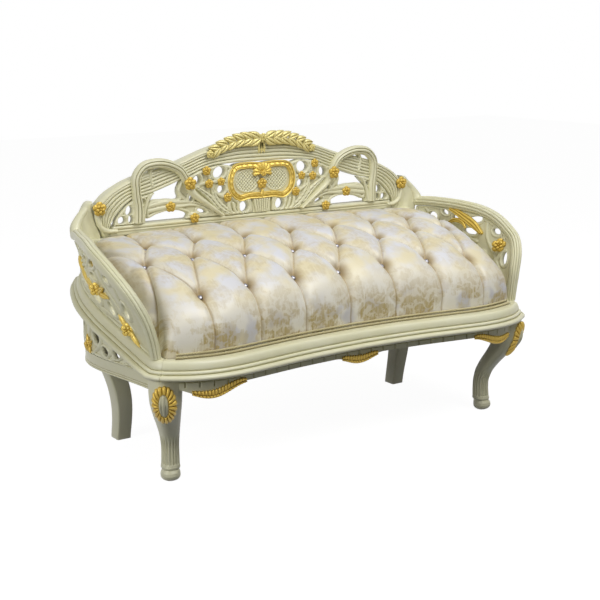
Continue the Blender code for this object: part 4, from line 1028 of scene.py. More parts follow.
def shellFan():  # ribbed rays from a small hub, domed toward the sitter
    sweep = math.pi + 2 * shell["over"]
    angle = np.linspace(-shell["over"], math.pi + shell["over"], shell["rays"] * 10 + 1)[:, None]
    t = np.linspace(0.1, 1, 16)[None]
    wave = -np.cos((angle + shell["over"]) / sweep * shell["rays"] * tau)
    reach = shell["reach"] * (1 + 0.05 * wave * t)
    high = shell["dome"] * (1 - (1 - t) ** 2) ** 0.4 - shell["fall"] * t ** 2
    high = high + shell["rib"] * wave * t ** 0.6 * (1 - t ** 8)
    x = reach * t * np.cos(angle) * shell["wide"]
    z = shell["middle"] + reach * t * np.sin(angle)
    top = np.stack([x, back["face"] - high, z], -1)
    low = np.stack([x, np.full_like(x, back["face"] - shell["rear"]), z], -1)
    fan = tube(np.concatenate([top, low[:, ::-1]], axis=1))
    hub = rosetteShape(shell["hub"], (0, back["face"] - shell["hubOut"], shell["hubAt"]), petals=6)
    place("cartoucheShell", joined([fan, hub]), brightGold, ["cartouche_shell"])


# Gilded rosettes

flowers = {  # x, z, radius and distance out from the back
    "end": (0.489, 0.606, 0.0185, 0.0035), "branch": (0.286, 0.5955, 0.0145, 0.0035),
    "loop": (0.233, 0.654, 0.0175, 0.0165), "crest": (0.175, 0.683, 0.0128, 0.0035),
    "spray": (0.168, 0.648, 0.0128, 0.0035), "stem": (0.111, 0.607, 0.0128, 0.0035),
    "rail": (0.214, 0.56, 0.014, 0.0035)}
lesserFlowers = {"cartouche": (0, 0.638, 0.015, 0.002), "innerSpray": (0.131, 0.651, 0.0118, 0.0035)}
rosette = {
    "turn": 0.3, "nominal": 0.015, "eye": 0.29,
    "profile": [0.0, 0.07, 0.14, 0.2, 0.25, 0.29, 0.34, 0.44, 0.56, 0.68, 0.8, 0.9, 0.96, 1.0, 1.0],
    "tiers": [(1.0, 0, 0.0018, 0.0065, 0.004), (0.66, 1, 0.005, 0.01, 0.006)]}


def petalRing(radius, petals, turn, low, high, eye):  # polar grid: lobed outline, domed petals, round eye
    angle = np.linspace(0, tau, petals * 14, endpoint=False)[None]
    t = np.array(rosette["profile"])[:, None]
    lobe = np.abs(np.cos(petals * (angle - turn) / 2))
    reach = radius * (0.72 + 0.28 * lobe ** 0.55)
    dome = np.sqrt(np.clip(1 - ((t - 0.62) / 0.46) ** 2, 0, 1)) * (0.4 + 0.6 * lobe ** 0.6)
    crease = np.exp(-(np.sin(petals * (angle - turn) / 2) / 0.1) ** 2)
    dome = dome * (1 - 0.22 * crease * smooth(0.35, 0.6, t))
    bulb = np.sqrt(np.clip(1 - (t / rosette["eye"]) ** 2, 0, 1))
    level = low + (high - low) * np.maximum(dome, 0.25 * (t < 0.9))
    level = np.maximum(level, (low + eye * bulb) * (t < rosette["eye"]))
    level[-1] = 0.0
    return reach * t * np.cos(angle), reach * t * np.sin(angle), level


def rosetteShape(radius, centre, along=(1, 0, 0), up=(0, 0, 1), petals=5):  # two rings of petals
    along, up = unit(np.array(along, float)), unit(np.array(up, float))
    normal = np.cross(along, up)
    parts = []
    for size, shift, *heights in rosette["tiers"]:
        turn = rosette["turn"] + shift * math.pi / petals
        u, v, w = petalRing(radius * size, petals, turn, *(np.array(heights) * radius / rosette["nominal"]))
        spot = np.array(centre) + u[..., None] * along + v[..., None] * up + w[..., None] * normal
        parts.append(tube(spot))
    return joined(parts)


def flowerShape(x, z, radius, out):  # a rosette on the back's plane
    return rosetteShape(radius, (x, back["face"] - out, z))


def rosettes():  # flowers in pairs, one in the cartouche and one on each inner spray
    for label, sizes in flowers.items():
        pair(f"{label}Rosette", flowerShape(*sizes), goldLeaf, f"{label}_rosette")
    middle = flowerShape(*lesserFlowers["cartouche"])
    place("cartoucheRosette", middle, goldLeaf, ["cartouche_rosette"])
    pair("innerSprayRosette", flowerShape(*lesserFlowers["innerSpray"]), goldLeaf)


garland = {
    "line": [(0, 0.7665), (0.075, 0.7635), (0.125, 0.7505), (0.172, 0.727)], "steps": 200, "pairs": 6,
    "from": 0.05, "span": 0.86, "length": 0.041, "wide": 0.0205, "lift": 0.0105, "spread": 33.0,
    "shrink": 0.03, "out": 0.0045, "layer": 0.0006, "down": 0.005, "bend": 0.004, "back": 0.1,
    "endStep": 190, "endRadius": 0.011, "endOut": 0.006, "endDown": 0.004, "middleRadius": 0.013,
    "middleOut": 0.008, "middleAt": 0.7625}
leafDrop = {
    "length": 0.034, "wide": 0.01, "lift": 0.008, "out": 0.0035, "top": 0.754,
    "leaves": [(-0.004, -0.16), (0.004, 0.16), (0.0, 0.0)]}


def crestGarland():  # overlapping leaf pairs from the middle out, a flower at each end and in the middle
    line = curve(garland["line"], garland["steps"])
    tangent = unit(np.gradient(line, axis=0))
    parts = []
    for k in range(garland["pairs"])[::-1]:
        at = int((garland["from"] + garland["span"] * k / garland["pairs"]) * (garland["steps"] - 1))
        out = garland["out"] + garland["layer"] * (garland["pairs"] - k)
        base = (line[at, 0], back["face"] - out, line[at, 1] - garland["down"])
        size = 1 - garland["shrink"] * k
        tx, tz = tangent[at]
        for lean in (1, -1):
            turn = math.radians(garland["spread"] * lean)
            c, s = math.cos(turn), math.sin(turn)
            ahead = np.array([c * tx - s * tz, garland["back"], s * tx + c * tz])
            across = np.array([ahead[2], 0.0, -ahead[0]])
            parts.append(leafShape(garland["length"] * size, garland["wide"] * size, garland["lift"], base,
                                   ahead, across, garland["bend"] * lean))
    x, z = line[garland["endStep"]] - [0, garland["endDown"]]
    half = joined(parts + [flowerShape(x, z, garland["endRadius"], garland["endOut"])])
    centre = (0, back["face"] - garland["middleOut"], garland["middleAt"])
    whole = joined([half, mirrored(half), rosetteShape(garland["middleRadius"], centre, petals=6)])
    place("crestGarland", whole, paleGold, ["crest_garland"])


def garlandDrop():  # three narrow leaves that hang from the middle flower
    leaves = [leafShape(leafDrop["length"], leafDrop["wide"], leafDrop["lift"],
                        (x, back["face"] - leafDrop["out"], leafDrop["top"]), (lean, 0, -1), (1, 0, lean))
              for x, lean in leafDrop["leaves"]]
    place("garlandDrop", joined(leaves), paleGold, ["garland_drop"])


cartouchePanel()
cartoucheStem()
cartoucheFrame()
shellFan()
rosettes()
crestGarland()
garlandDrop()
print("cartouche, rosettes and garland")


# Arm infills: pierced webs carved on both faces, with gilded ribbons, arcs and leaves laid on them

infill = {
    "low": -0.1605, "high": 0.24, "tall": 0.13, "thick": 0.014, "footOut": -0.015, "gap": 0.0004,
    "steps": 60, "step": 0.0018, "soft": 0.003, "rim": 0.0032, "rimWide": 0.004,
    "stemHalf": [0.005, 0.0058, 0.004], "stemLift": 0.0034, "bed": 0.001,
    "ribbonHalf": [0.0045, 0.0075, 0.008, 0.0035], "ribbonLift": 0.0066,
    "arcHalf": [0.003, 0.006, 0.007, 0.0055, 0.003], "arcLift": 0.0055, "strands": 2, "leafWide": 0.0145,
    "leafLift": 0.0065, "budRadius": 0.0165, "budOut": 0.003, "budAlong": (0.6, 0.8, 0),
    "flowerAlong": (0.6, -0.8, 0), "sink": 0.0015, "flowerRadius": 0.0205, "flower": (-0.076, 0.735),
    "flowerUp": (-0.076, 0.795), "flowerShift": (0.004, 0.004, 0),
    "holes": [(0.18, 0.7, 0.014, 0.12, 0), (0.14, 0.88, 0.011, 0.06, 20), (0.1, 0.79, 0.012, 0.08, 0),
              (0.038, 0.875, 0.03, 0.06, -22), (0.044, 0.62, 0.024, 0.06, -12),
              (-0.052, 0.9, 0.016, 0.048, -20), (-0.109, 0.62, 0.01, 0.13, 12),
              (-0.026, 0.3, 0.014, 0.1, 20), (0.112, 0.38, 0.02, 0.13, -10), (0.192, 0.3, 0.011, 0.11, 0),
              (0.046, 0.27, 0.02, 0.1, 10)],
    "stems": [[(0.205, 0.93), (0.165, 0.52), (0.12, 0.62)], [(0.15, 0.16), (0.075, 0.44), (0.01, 0.5)],
              [(-0.01, 0.96), (-0.02, 0.7), (-0.06, 0.52), (-0.12, 0.3)],
              [(-0.085, 0.95), (-0.088, 0.6), (-0.06, 0.3), (-0.01, 0.12)],
              [(0.222, 0.1), (0.16, 0.36), (0.14, 0.66)], [(0.085, 0.08), (0.012, 0.1), (-0.06, 0.16)]],
    "ribbons": [[(0.122, 1.00), (0.09, 0.895), (0.054, 0.79), (0.004, 0.685)],
                [(0.102, 1.00), (0.074, 0.915), (0.04, 0.83), (-0.004, 0.7)]],
    "arc": [(0.122, 0.64), (0.106, 0.73), (0.086, 0.755), (0.068, 0.715), (0.06, 0.65)],
    "leaves": [[(0.165, 0.7), (0.122, 0.47)], [(0.13, 0.54), (0.086, 0.36)], [(0.096, 0.43), (0.044, 0.29)],
               [(0.102, 0.39), (0.048, 0.43)], [(0.048, 0.34), (0.012, 0.57)],
               [(0.034, 0.37), (-0.018, 0.62)], [(0.022, 0.4), (-0.034, 0.5)],
               [(-0.064, 0.36), (-0.092, 0.14)], [(-0.078, 0.26), (-0.106, 0.07)],
               [(-0.092, 0.17), (-0.122, 0.01)], [(-0.074, 0.2), (-0.112, 0.17)]],
    "buds": [(0.032, 0.44), (-0.09, 0.2)]}


def infillEdges():  # edges of the web: under the arm and along the rail, both by y
    path, _, up = armFrame(160)
    under = path - up * arm["under"]
    at = np.linspace(planCorner, seat["steps"] - 1, 120)
    return under[np.argsort(under[:, 1])], onPlan(at, infill["footOut"], seat["railTop"])


infillUnder, infillFoot = infillEdges()


def onInfill(u, w, out):  # along y, up by share of the height times its nominal height, out from the middle
    top = np.stack([np.interp(u, infillUnder[:, 1], line) for line in infillUnder.T], -1)
    base = np.stack([np.interp(u, infillFoot[:, 1], line) for line in infillFoot.T], -1)
    base[..., 2] = seat["railTop"] + infill["gap"] + rise(np.asarray(u))
    spot = base + (top - base) * (w / infill["tall"])[..., None]
    return np.stack([spot[..., 0] + out, np.broadcast_to(u, spot[..., 0].shape), spot[..., 2]], -1)


def flatLine(web, points):  # a line given in y and share of height, in a web's flat metres
    return np.array(points) * [1, web["tall"]]


def piercedWeb(web, onSurface):  # a pierced plate with raised stems, carved on both faces
    tall = web["tall"]
    u = np.linspace(web["low"], web["high"], web["steps"])
    foot = np.column_stack([u, np.zeros(len(u))])
    outline = np.vstack([foot, (foot + [0, tall])[::-1]])
    holes = [oval(y, up * tall, wide, high * tall, turn) for y, up, wide, high, turn in web["holes"]]
    stems = [(flatLine(web, points), web["stemHalf"], web["stemLift"]) for points in web["stems"]]
    front = web["thick"] / 2 - web["soft"]
    return relief(outline, holes, stems, onSurface, front, -front, step=web["step"], soft=web["soft"],
                  rim=web["rim"], wide=web["rimWide"], both=True)


def strap(onSurface, line, half, lift, out, facing, strands, count=60, around=9):  # raised band on a web
    line = curve(line, count)
    spot = onSurface(line[:, 0], line[:, 1], np.full(count, out))
    tangent = unit(np.gradient(spot, axis=0))
    normal = unit(np.array([facing, 0.0, 0.0]) - tangent * tangent[:, :1] * facing)
    across = np.cross(tangent, normal)
    half = np.interp(np.linspace(0, 1, count), np.linspace(0, 1, len(half)), half)[:, None]
    s = np.linspace(-1, 1, around * strands)[None]
    local = ((s + 1) / 2 * strands) % 1 * 2 - 1
    high = lift * (0.25 + 0.75 * np.sqrt(np.clip(1 - local ** 2, 0, 1))) * np.ones_like(half)
    flat = spot[:, None] + across[:, None] * (half * s)[..., None]
    low = flat - normal[:, None] * infill["sink"]
    return tube(np.concatenate([flat + normal[:, None] * high[..., None], low[:, ::-1]], 1))


def leafOn(onSurface, line, wide, lift, out, facing):  # a leaf lying on a web, from its base to its tip
    spot, end = onSurface(line[:, 0], line[:, 1], np.full(2, out))
    ahead = unit(end - spot)
    normal = unit(np.array([facing, 0.0, 0.0]) - ahead * ahead[0] * facing)
    return leafShape(float(np.linalg.norm(end - spot)), wide, lift, spot, ahead, np.cross(ahead, normal))


def armGilding():  # ribbons and an arc on the inner face, leaves and buds on the outer one
    face = infill["thick"] / 2 - infill["bed"]
    bands = [(line, infill["ribbonHalf"], infill["ribbonLift"]) for line in infill["ribbons"]]
    bands.append((infill["arc"], infill["arcHalf"], infill["arcLift"]))
    parts = [strap(onInfill, flatLine(infill, line), half, lift, -face, -1, infill["strands"])
             for line, half, lift in bands]
    parts += [leafOn(onInfill, flatLine(infill, line), infill["leafWide"], infill["leafLift"], face, 1)
              for line in infill["leaves"]]
    buds = flatLine(infill, infill["buds"])
    spots = onInfill(buds[:, 0], buds[:, 1], np.full(len(buds), face + infill["budOut"]))
    return joined(parts + [rosetteShape(infill["budRadius"], spot, infill["budAlong"]) for spot in spots])


def armFlower():  # rosette on the inner face, turned toward the front
    near = flatLine(infill, [infill["flower"], infill["flowerUp"]])
    spot, above = onInfill(near[:, 0], near[:, 1], np.full(2, -infill["thick"] / 2))
    return rosetteShape(infill["flowerRadius"], spot - infill["flowerShift"], infill["flowerAlong"],
                        above - spot)


def armInfills():  # on each side the web, its gilding and its flower
    pair("armInfill", piercedWeb(infill, onInfill), ivoryCoat, "arm_infill")
    pair("armGilding", armGilding(), brightGold)
    pair("armFlower", armFlower(), goldLeaf, "arm_flower")


armInfills()
print("arm infills")


# Side carving under the climbing rail

wedge = {
    "low": -0.15, "high": 0.196, "tall": 0.075, "thick": 0.014, "footOut": -0.016, "gap": 0.0004,
    "under": 0.0012, "steps": 50, "step": 0.0016, "soft": 0.003, "rim": 0.003, "rimWide": 0.0036,
    "stemHalf": [0.004, 0.006, 0.004], "stemLift": 0.0034, "bed": 0.001, "leafWide": 0.011,
    "leafLift": 0.0062, "bud": (0.113, 0.21), "budRadius": 0.012, "budAlong": (0.5, 0.87, 0),
    "holes": [(0.158, 0.5, 0.014, 0.18, 0), (0.074, 0.55, 0.016, 0.17, 0), (0.032, 0.28, 0.013, 0.14, 15),
              (-0.015, 0.4, 0.013, 0.2, 20), (-0.066, 0.44, 0.011, 0.2, 15)],
    "stems": [[(0.19, 0.1), (0.135, 0.8)], [(0.135, 0.1), (0.095, 0.85)],
              [(0.085, 0.1), (0.05, 0.5), (0.05, 0.9)], [(0.045, 0.08), (0.008, 0.35), (0.015, 0.85)],
              [(0.004, 0.1), (-0.035, 0.4), (-0.03, 0.9)], [(-0.046, 0.1), (-0.088, 0.45), (-0.084, 0.9)]],
    "leaves": [[(0.113, 0.2), (0.128, 0.02)], [(0.113, 0.2), (0.1, 0.03)], [(0.113, 0.22), (0.134, 0.26)],
               [(0.113, 0.24), (0.119, 0.46)], [(0.113, 0.22), (0.096, 0.36)]]}
wedgeFoot = onPlan(np.linspace(planCorner, seat["steps"] - 1, 120), wedge["footOut"], seat["railLow"])


def onWedge(u, w, out):  # along y, up by share of the height times its nominal height, out from the middle
    x = np.interp(u, wedgeFoot[:, 1], wedgeFoot[:, 0])
    z = seat["railLow"] + wedge["gap"] + (rise(np.asarray(u)) - wedge["under"]) * w / wedge["tall"]
    return np.stack([x + out, np.broadcast_to(u, x.shape), z], -1)


def sideCarvings():  # pierced wedge, with leaves round a bud on its outer face
    pair("sideCarving", piercedWeb(wedge, onWedge), ivoryCoat, "side_carving")
    half = wedge["thick"] / 2
    leaves = [leafOn(onWedge, flatLine(wedge, line), wedge["leafWide"], wedge["leafLift"],
                     half - wedge["bed"], 1) for line in wedge["leaves"]]
    y, up = flatLine(wedge, wedge["bud"])
    bud = rosetteShape(wedge["budRadius"], onWedge(y, up, half + wedge["bed"]), wedge["budAlong"])
    pair("sideLeaf", joined(leaves + [bud]), goldLeaf)


sideReturn = {
    "from": (0.5545, 0.1895), "to": (0.512, 0.229), "low": 0.2374, "under": 0.0006, "half": 0.0055,
    "steps": 24}


def sideReturns():  # short boards that close the carving and the side apron to the rear leg
    line = np.linspace(sideReturn["from"], sideReturn["to"], sideReturn["steps"])
    ahead = unit(line[-1] - line[0])
    away = np.array([ahead[1], -ahead[0]]) * sideReturn["half"]
    high = seat["railLow"] - sideReturn["under"] + rise(line[:, 1])
    low = np.full(len(line), sideReturn["low"])
    edges = [(line + away, low), (line + away, high), (line - away, high), (line - away, low)]
    rings = np.stack([np.column_stack([flat, z]) for flat, z in edges], 1)
    pair("sideReturn", tube(rings), ivoryCoat)


sideCarvings()
sideReturns()
print("side carvings")


# Knee ornaments: a ring of gilded lobes round a pale middle of upright strands

knee = {
    "middle": 0.211, "high": 0.051, "wide": 0.88, "coreWide": 0.34, "coreHigh": 0.6, "lobes": 19,
    "notch": 0.07, "base": 0.0018, "lift": 0.0066, "rear": 0.0003, "coreBase": 0.0016, "coreLift": 0.0052}


def onKnee(across, up, lift):  # shares of the ornament's reach across and up, on the leg's outer corner
    return onLeg(legFacing + knee["wide"] * across, knee["middle"] + knee["high"] * up, lift)


def kneeOrnaments():  # half-round lobes round an oval core, which is a dome of three strands
    turn = np.linspace(0, tau, knee["lobes"] * 12, endpoint=False)[None]
    core = 1 / np.hypot(np.cos(turn) / knee["coreWide"], np.sin(turn) / knee["coreHigh"])
    lobe = np.abs(np.cos(knee["lobes"] * turn / 2))
    t = np.linspace(0, 1, 16)[:, None]
    reach = (core + (1 - core) * t) * (1 - knee["notch"] * (1 - lobe) * t)
    crown = np.sqrt(np.clip(1 - (1.9 * t - 0.95) ** 2, 0, 1)) * (0.25 + 0.75 * lobe ** 0.7)
    x, z = reach * np.cos(turn), reach * np.sin(turn)
    front = onKnee(x, z, knee["base"] + knee["lift"] * crown)
    ring = tube(np.concatenate([front, onKnee(x, z, knee["rear"])[::-1]]), True)
    r = core * np.linspace(0, 1.02, 14)[:, None]
    x, z = r * np.cos(turn), r * np.sin(turn)
    strand = 0.4 + 0.6 * np.cos(x / knee["coreWide"] * 1.5 * math.pi) ** 2
    dome = np.sqrt(np.clip(1 - (r / core) ** 2, 0, 1)) * strand
    middle = tube(onKnee(x, z, knee["coreBase"] + knee["coreLift"] * dome))
    pair("kneeRing", ring, goldLeaf, "knee_ornament")
    pair("kneeCentre", middle, ivoryCoat)


kneeOrnaments()
print("knee ornaments")


# Apron drops: a beaded hem under a row of small gilded lobes

drop = {
    "spans": {"left": (-0.497, -0.355), "centre": (-0.055, 0.055), "right": (0.355, 0.497)},
    "pitch": 0.0082, "low": 0.0075, "high": 0.0125, "hem": 0.0035, "notch": 0.16, "base": 0.0012,
    "lift": 0.0048, "rear": 0.0004}


def apronDrops():  # beads along the apron's edge, lobes above them, tallest half way along
    t = np.linspace(0, 1, 22)[None]
    for label, (low, high) in drop["spans"].items():
        ends = [math.copysign(stepAt(abs(x), 0), x) for x in (low, high)]
        at = np.linspace(*ends, int((high - low) / drop["pitch"]) * 10 + 1)[:, None]
        x = planAt(at[:, 0])[0][:, 0]
        share = np.linspace(0, 1, len(at))[:, None]
        tall = drop["low"] + drop["high"] * np.sin(math.pi * np.clip(share, 0, 1)) ** 0.7
        wave = np.abs(np.cos(math.pi * x / drop["pitch"]))[:, None]
        bead = np.sqrt(np.clip(1 - ((t - 0.17) / 0.17) ** 2, 0, 1)) * (0.25 + 0.75 * wave ** 0.6)
        lobe = np.sqrt(np.clip(1 - ((t - 0.66) / 0.34) ** 2, 0, 1)) * (0.4 + 0.6 * (1 - wave ** 1.6))
        notched = 1 - drop["notch"] * wave * smooth(0.6, 1.0, t)
        up = apronEdge(x)[:, None] - drop["hem"] + (tall + drop["hem"]) * t * notched
        face = apron["out"] + drop["base"] + drop["lift"] * np.maximum(bead, lobe)
        rear = np.full_like(up, apron["out"] + drop["rear"])
        rings = onPlan(at, np.concatenate([face, rear], 1), np.concatenate([up, up[:, ::-1]], 1))
        place(f"apronDrop_{label}", tube(rings), goldLeaf, [f"apron_drop_{label}"])


apronDrops()
print("apron drops")


# Cushion: domed seat, pits at the buttons, pleats between them, inflated by the cloth simulation

cushion = {
    "cols": 261, "rows": 78, "back": 0.24, "top": 0.544, "sideDrop": 0.0144, "cornerDrop": 0.032,
    "deckDrop": 0.0135, "bunch": 1.6, "spread": 0.08, "bulge": 0.007, "rim": 0.003, "floor": 0.0015,
    "corner": [(0.546, 0.18), (0.532, 0.212), (0.516, 0.24)], "sideEnd": 0.15, "tuckIn": 0.0015,
    "steep": (2.1, 0.28), "gentle": (1.5, 0.6), "gentleShare": 0.25,
    "columnX": [0, 0.14, 0.281, 0.418, 0.535], "lastColumn": (3.6, 3.6, 3.1),
    "rowY": [(-0.126, -0.018), (-0.022, 0.044), (0.108, 0.02)], "bowHalf": 0.38, "pit": 0.019,
    "pitReach": 0.021, "pleat": 0.006, "pleatReach": 0.085, "tuck": 0.0065, "tuckReach": 0.032,
    "tuckFrom": 0.01, "puff": 0.003, "pinReach": 0.012, "pleatPin": 0.75, "pleatPinReach": 0.03,
    "shadeReach": 0.022, "pleatShade": 0.05, "tall": 0.12, "pressure": 4.0, "frames": 20, "mostMove": 0.009}


def cushionPlan(u, v):  # flat points between the rails: front, sides and back blended from their edges
    at = np.linspace(0, seat["steps"] - 1, 240)
    spot, out = planAt(at)
    edge = spot + out * (railInner(at) - cushion["tuckIn"])[:, None]
    turn = int(np.argmax(edge[:, 0] - edge[:, 1]))
    half = curve(edge[:turn + 1:6], 200)
    side = edge[turn:][edge[turn:, 1] < cushion["sideEnd"]]
    side = curve(np.vstack([side[::6], cushion["corner"]]), 200)
    even = np.linspace(0, 1, 200)
    front = np.stack([np.sign(2 * u - 1) * np.interp(np.abs(2 * u - 1), even, half[:, 0]),
                      np.interp(np.abs(2 * u - 1), even, half[:, 1])], -1)
    right = np.stack([np.interp(v, even, side[:, k]) for k in (0, 1)], -1)
    left = right * [-1, 1]
    rear = np.stack([(2 * u - 1) * side[-1, 0], np.full_like(u, cushion["back"])], -1)
    u, v = u[..., None], v[..., None]
    ends = [(1 - u) * (end * [-1, 1]) + u * end for end in (half[-1], side[-1])]
    corners = (1 - v) * ends[0] + v * ends[1]
    return (1 - v) * front + v * rear + (1 - u) * left + u * right - corners


def rowAt(k, x):  # y of a row of buttons: its middle, plus its bow toward the sides
    y, bow = cushion["rowY"][k]
    return y + bow * np.minimum(np.abs(x) / cushion["bowHalf"], 1) ** 2


def lattice(x, y):  # distances to the two sets of pleats, 0 on a pleat and 0.5 half way to the next
    column = np.sign(x) * np.interp(np.abs(x), cushion["columnX"], range(5))
    front, middle, rear = (rowAt(k, x) for k in range(3))
    row = np.clip((y - front) / (middle - front), 0, 1) + np.clip((y - middle) / (rear - middle), 0, 1)
    a = np.abs(column + row / 2 - np.round(column + row / 2))
    b = np.abs(column - row / 2 - np.round(column - row / 2))
    return a, b


def buttonSpots():  # x and y of every button, the middle row set half a column over
    spots = []
    for row in range(3):
        spread = np.arange(-4, 5) if row % 2 == 0 else np.arange(-3.5, 4)
        spread = spread[np.abs(spread) <= cushion["lastColumn"][row]]
        x = np.sign(spread) * np.interp(np.abs(spread), range(5), cushion["columnX"])
        spots.append(np.column_stack([x, rowAt(row, x)]))
    return np.vstack(spots)


def gridNormal(spot):  # unit normals of a grid of points
    return unit(np.cross(np.gradient(spot, axis=1), np.gradient(spot, axis=0)))


def crownAt(v, shape):  # share of the crown's height from front to back
    reach, power = shape
    return (1 - (1 - v) ** reach) ** power


def cushionDome(u, v):  # smooth crown before buttoning: steep in front, gentler at the sides
    flat = cushionPlan(u, v)
    x, y = flat[..., 0], flat[..., 1]
    across = np.abs(2 * u - 1)
    steep, gentle = (crownAt(v, cushion[kind]) for kind in ("steep", "gentle"))
    dome = steep + cushion["gentleShare"] * (gentle - steep) * across ** 6
    rim = seat["railTop"] + cushion["rim"] + rise(y)
    sag = (cushion["sideDrop"] + cushion["cornerDrop"] * (1 - v) ** 2.5) * across ** 2
    crown = seat["railTop"] + (cushion["top"] - sag - seat["railTop"]) * dome
    fall = np.sqrt(np.clip(1 - across ** 40, 0, 1))
    top = rim + np.maximum(crown - rim, 0) * fall
    y = y - cushion["bulge"] * np.sin(math.pi * np.clip(dome / 0.8, 0, 1)) * fall
    return np.stack([x, y, top], -1), flat, fall


def buttonedSurface():  # the crown, sunk at the buttons and pleats and puffed between them
    t = np.linspace(-1, 1, cushion["cols"])
    u = (0.5 + 0.5 * (t + cushion["spread"] * np.sin(math.pi * t)))[None] * np.ones((cushion["rows"], 1))
    v = (np.linspace(0, 1, cushion["rows"]) ** cushion["bunch"])[:, None] * np.ones((1, cushion["cols"]))
    spot, flat, fall = cushionDome(u, v)
    a, b = lattice(flat[..., 0], flat[..., 1])
    near = np.minimum(a, b)
    far = np.min(np.linalg.norm(flat[:, :, None] - buttonSpots(), axis=-1), -1)
    pit = cushion["pit"] * np.exp(-(far / cushion["pitReach"]) ** 1.25)
    crease = cushion["pleat"] * np.exp(-(near / cushion["pleatReach"]) ** 2)
    body = cushion["puff"] * (np.sin(math.pi * a) * np.sin(math.pi * b)) ** 0.5
    hold = np.clip(v / 0.02, 0.25, 1) * np.clip((1 - v) / 0.06, 0.2, 1) * np.clip(fall * 1.3 - 0.2, 0, 1)
    edge = np.clip(v / 0.05, 0, 1) * np.clip((1 - v) / 0.08, 0, 1) * fall
    spot = spot + gridNormal(spot) * (body * edge - crease * hold - pit * edge)[..., None]
    floor = seat["railTop"] + cushion["floor"] + rise(spot[..., 1])
    spot[..., 2] = np.maximum(spot[..., 2], floor)
    return spot, flat, near, far


def closedGrid(spot):  # the grid with a wall down to the deck and a fan of faces below
    rows, cols, _ = spot.shape
    index = np.arange(rows * cols).reshape(rows, cols)
    edge = np.concatenate([index[0], index[1:, -1], index[-1, -2::-1], index[-2:0:-1, 0]])
    under = spot.reshape(-1, 3)[edge]
    under[:, 2] = seat["railTop"] - cushion["deckDrop"] + rise(under[:, 1])
    middle = np.array([0.0, under[:, 1].mean(), 0.0])
    middle[2] = seat["railTop"] - cushion["deckDrop"] + float(rise(middle[1]))
    ring = rows * cols + np.arange(len(edge))
    wall = np.stack([edge, np.roll(edge, -1), np.roll(ring, -1), ring], 1)[:, ::-1]
    fan = np.stack([ring, np.roll(ring, -1), np.full(len(ring), rows * cols + len(ring))], 1)[:, ::-1]
    return np.vstack([spot.reshape(-1, 3), under, middle]), [gridFaces(rows, cols), wall, fan]


clothSettings = {
    "vertex_group_mass": "pin", "use_pressure": True, "quality": 5, "mass": 0.3, "tension_stiffness": 15.0,
    "compression_stiffness": 15.0, "bending_stiffness": 0.5}


def simulated(spot, pins):  # cloth under pressure, held at the pins, its movement capped
    points, faces = closedGrid(spot)
    mesh = bpy.data.meshes.new("clothRun")
    mesh.from_pydata(points.tolist(), [], [face.tolist() for group in faces for face in group])
    obj = bpy.data.objects.new("clothRun", mesh)
    scene = bpy.context.scene
    scene.collection.objects.link(obj)
    group = obj.vertex_groups.new(name="pin")
    weight = np.ones(len(points))
    weight[:pins.size] = np.round(pins.ravel(), 1)
    for value in np.unique(weight[weight > 0]):
        group.add(np.flatnonzero(weight == value).tolist(), float(value), "REPLACE")
    cloth = obj.modifiers.new("cloth", "CLOTH")
    for key, value in clothSettings.items():
        setattr(cloth.settings, key, value)
    cloth.settings.uniform_pressure_force = cushion["pressure"]
    cloth.settings.effector_weights.gravity = 0.0
    cloth.collision_settings.use_collision = False
    cloth.point_cache.frame_end = cushion["frames"]
    for step in range(1, cushion["frames"] + 1):
        scene.frame_set(step)
    settled = obj.evaluated_get(bpy.context.evaluated_depsgraph_get()).to_mesh()
    moved = np.empty(len(points) * 3, np.float32)
    settled.vertices.foreach_get("co", moved)
    bpy.data.objects.remove(obj)
    scene.frame_set(1)
    move = moved.reshape(-1, 3)[:pins.size].reshape(spot.shape) - spot
    far = np.linalg.norm(move, axis=-1, keepdims=True)
    print("cloth moved up to", float(far.max()))
    return spot + move * np.tanh(far / cushion["mostMove"]) * cushion["mostMove"] / np.maximum(far, 1e-9)


def halved(grid):  # new points between the rows, from four neighbours: 9 and -1 sixteenths
    wide = np.concatenate([2 * grid[:1] - grid[1:2], grid, 2 * grid[-1:] - grid[-2:-1]])
    out = np.empty((2 * len(grid) - 1, *grid.shape[1:]))
    out[::2] = grid
    out[1::2] = (9 * (wide[1:-2] + wide[2:-1]) - wide[:-3] - wide[3:]) / 16
    return out


def refined(grid):  # halved both ways
    return np.swapaxes(halved(np.swapaxes(halved(grid), 0, 1)), 0, 1)


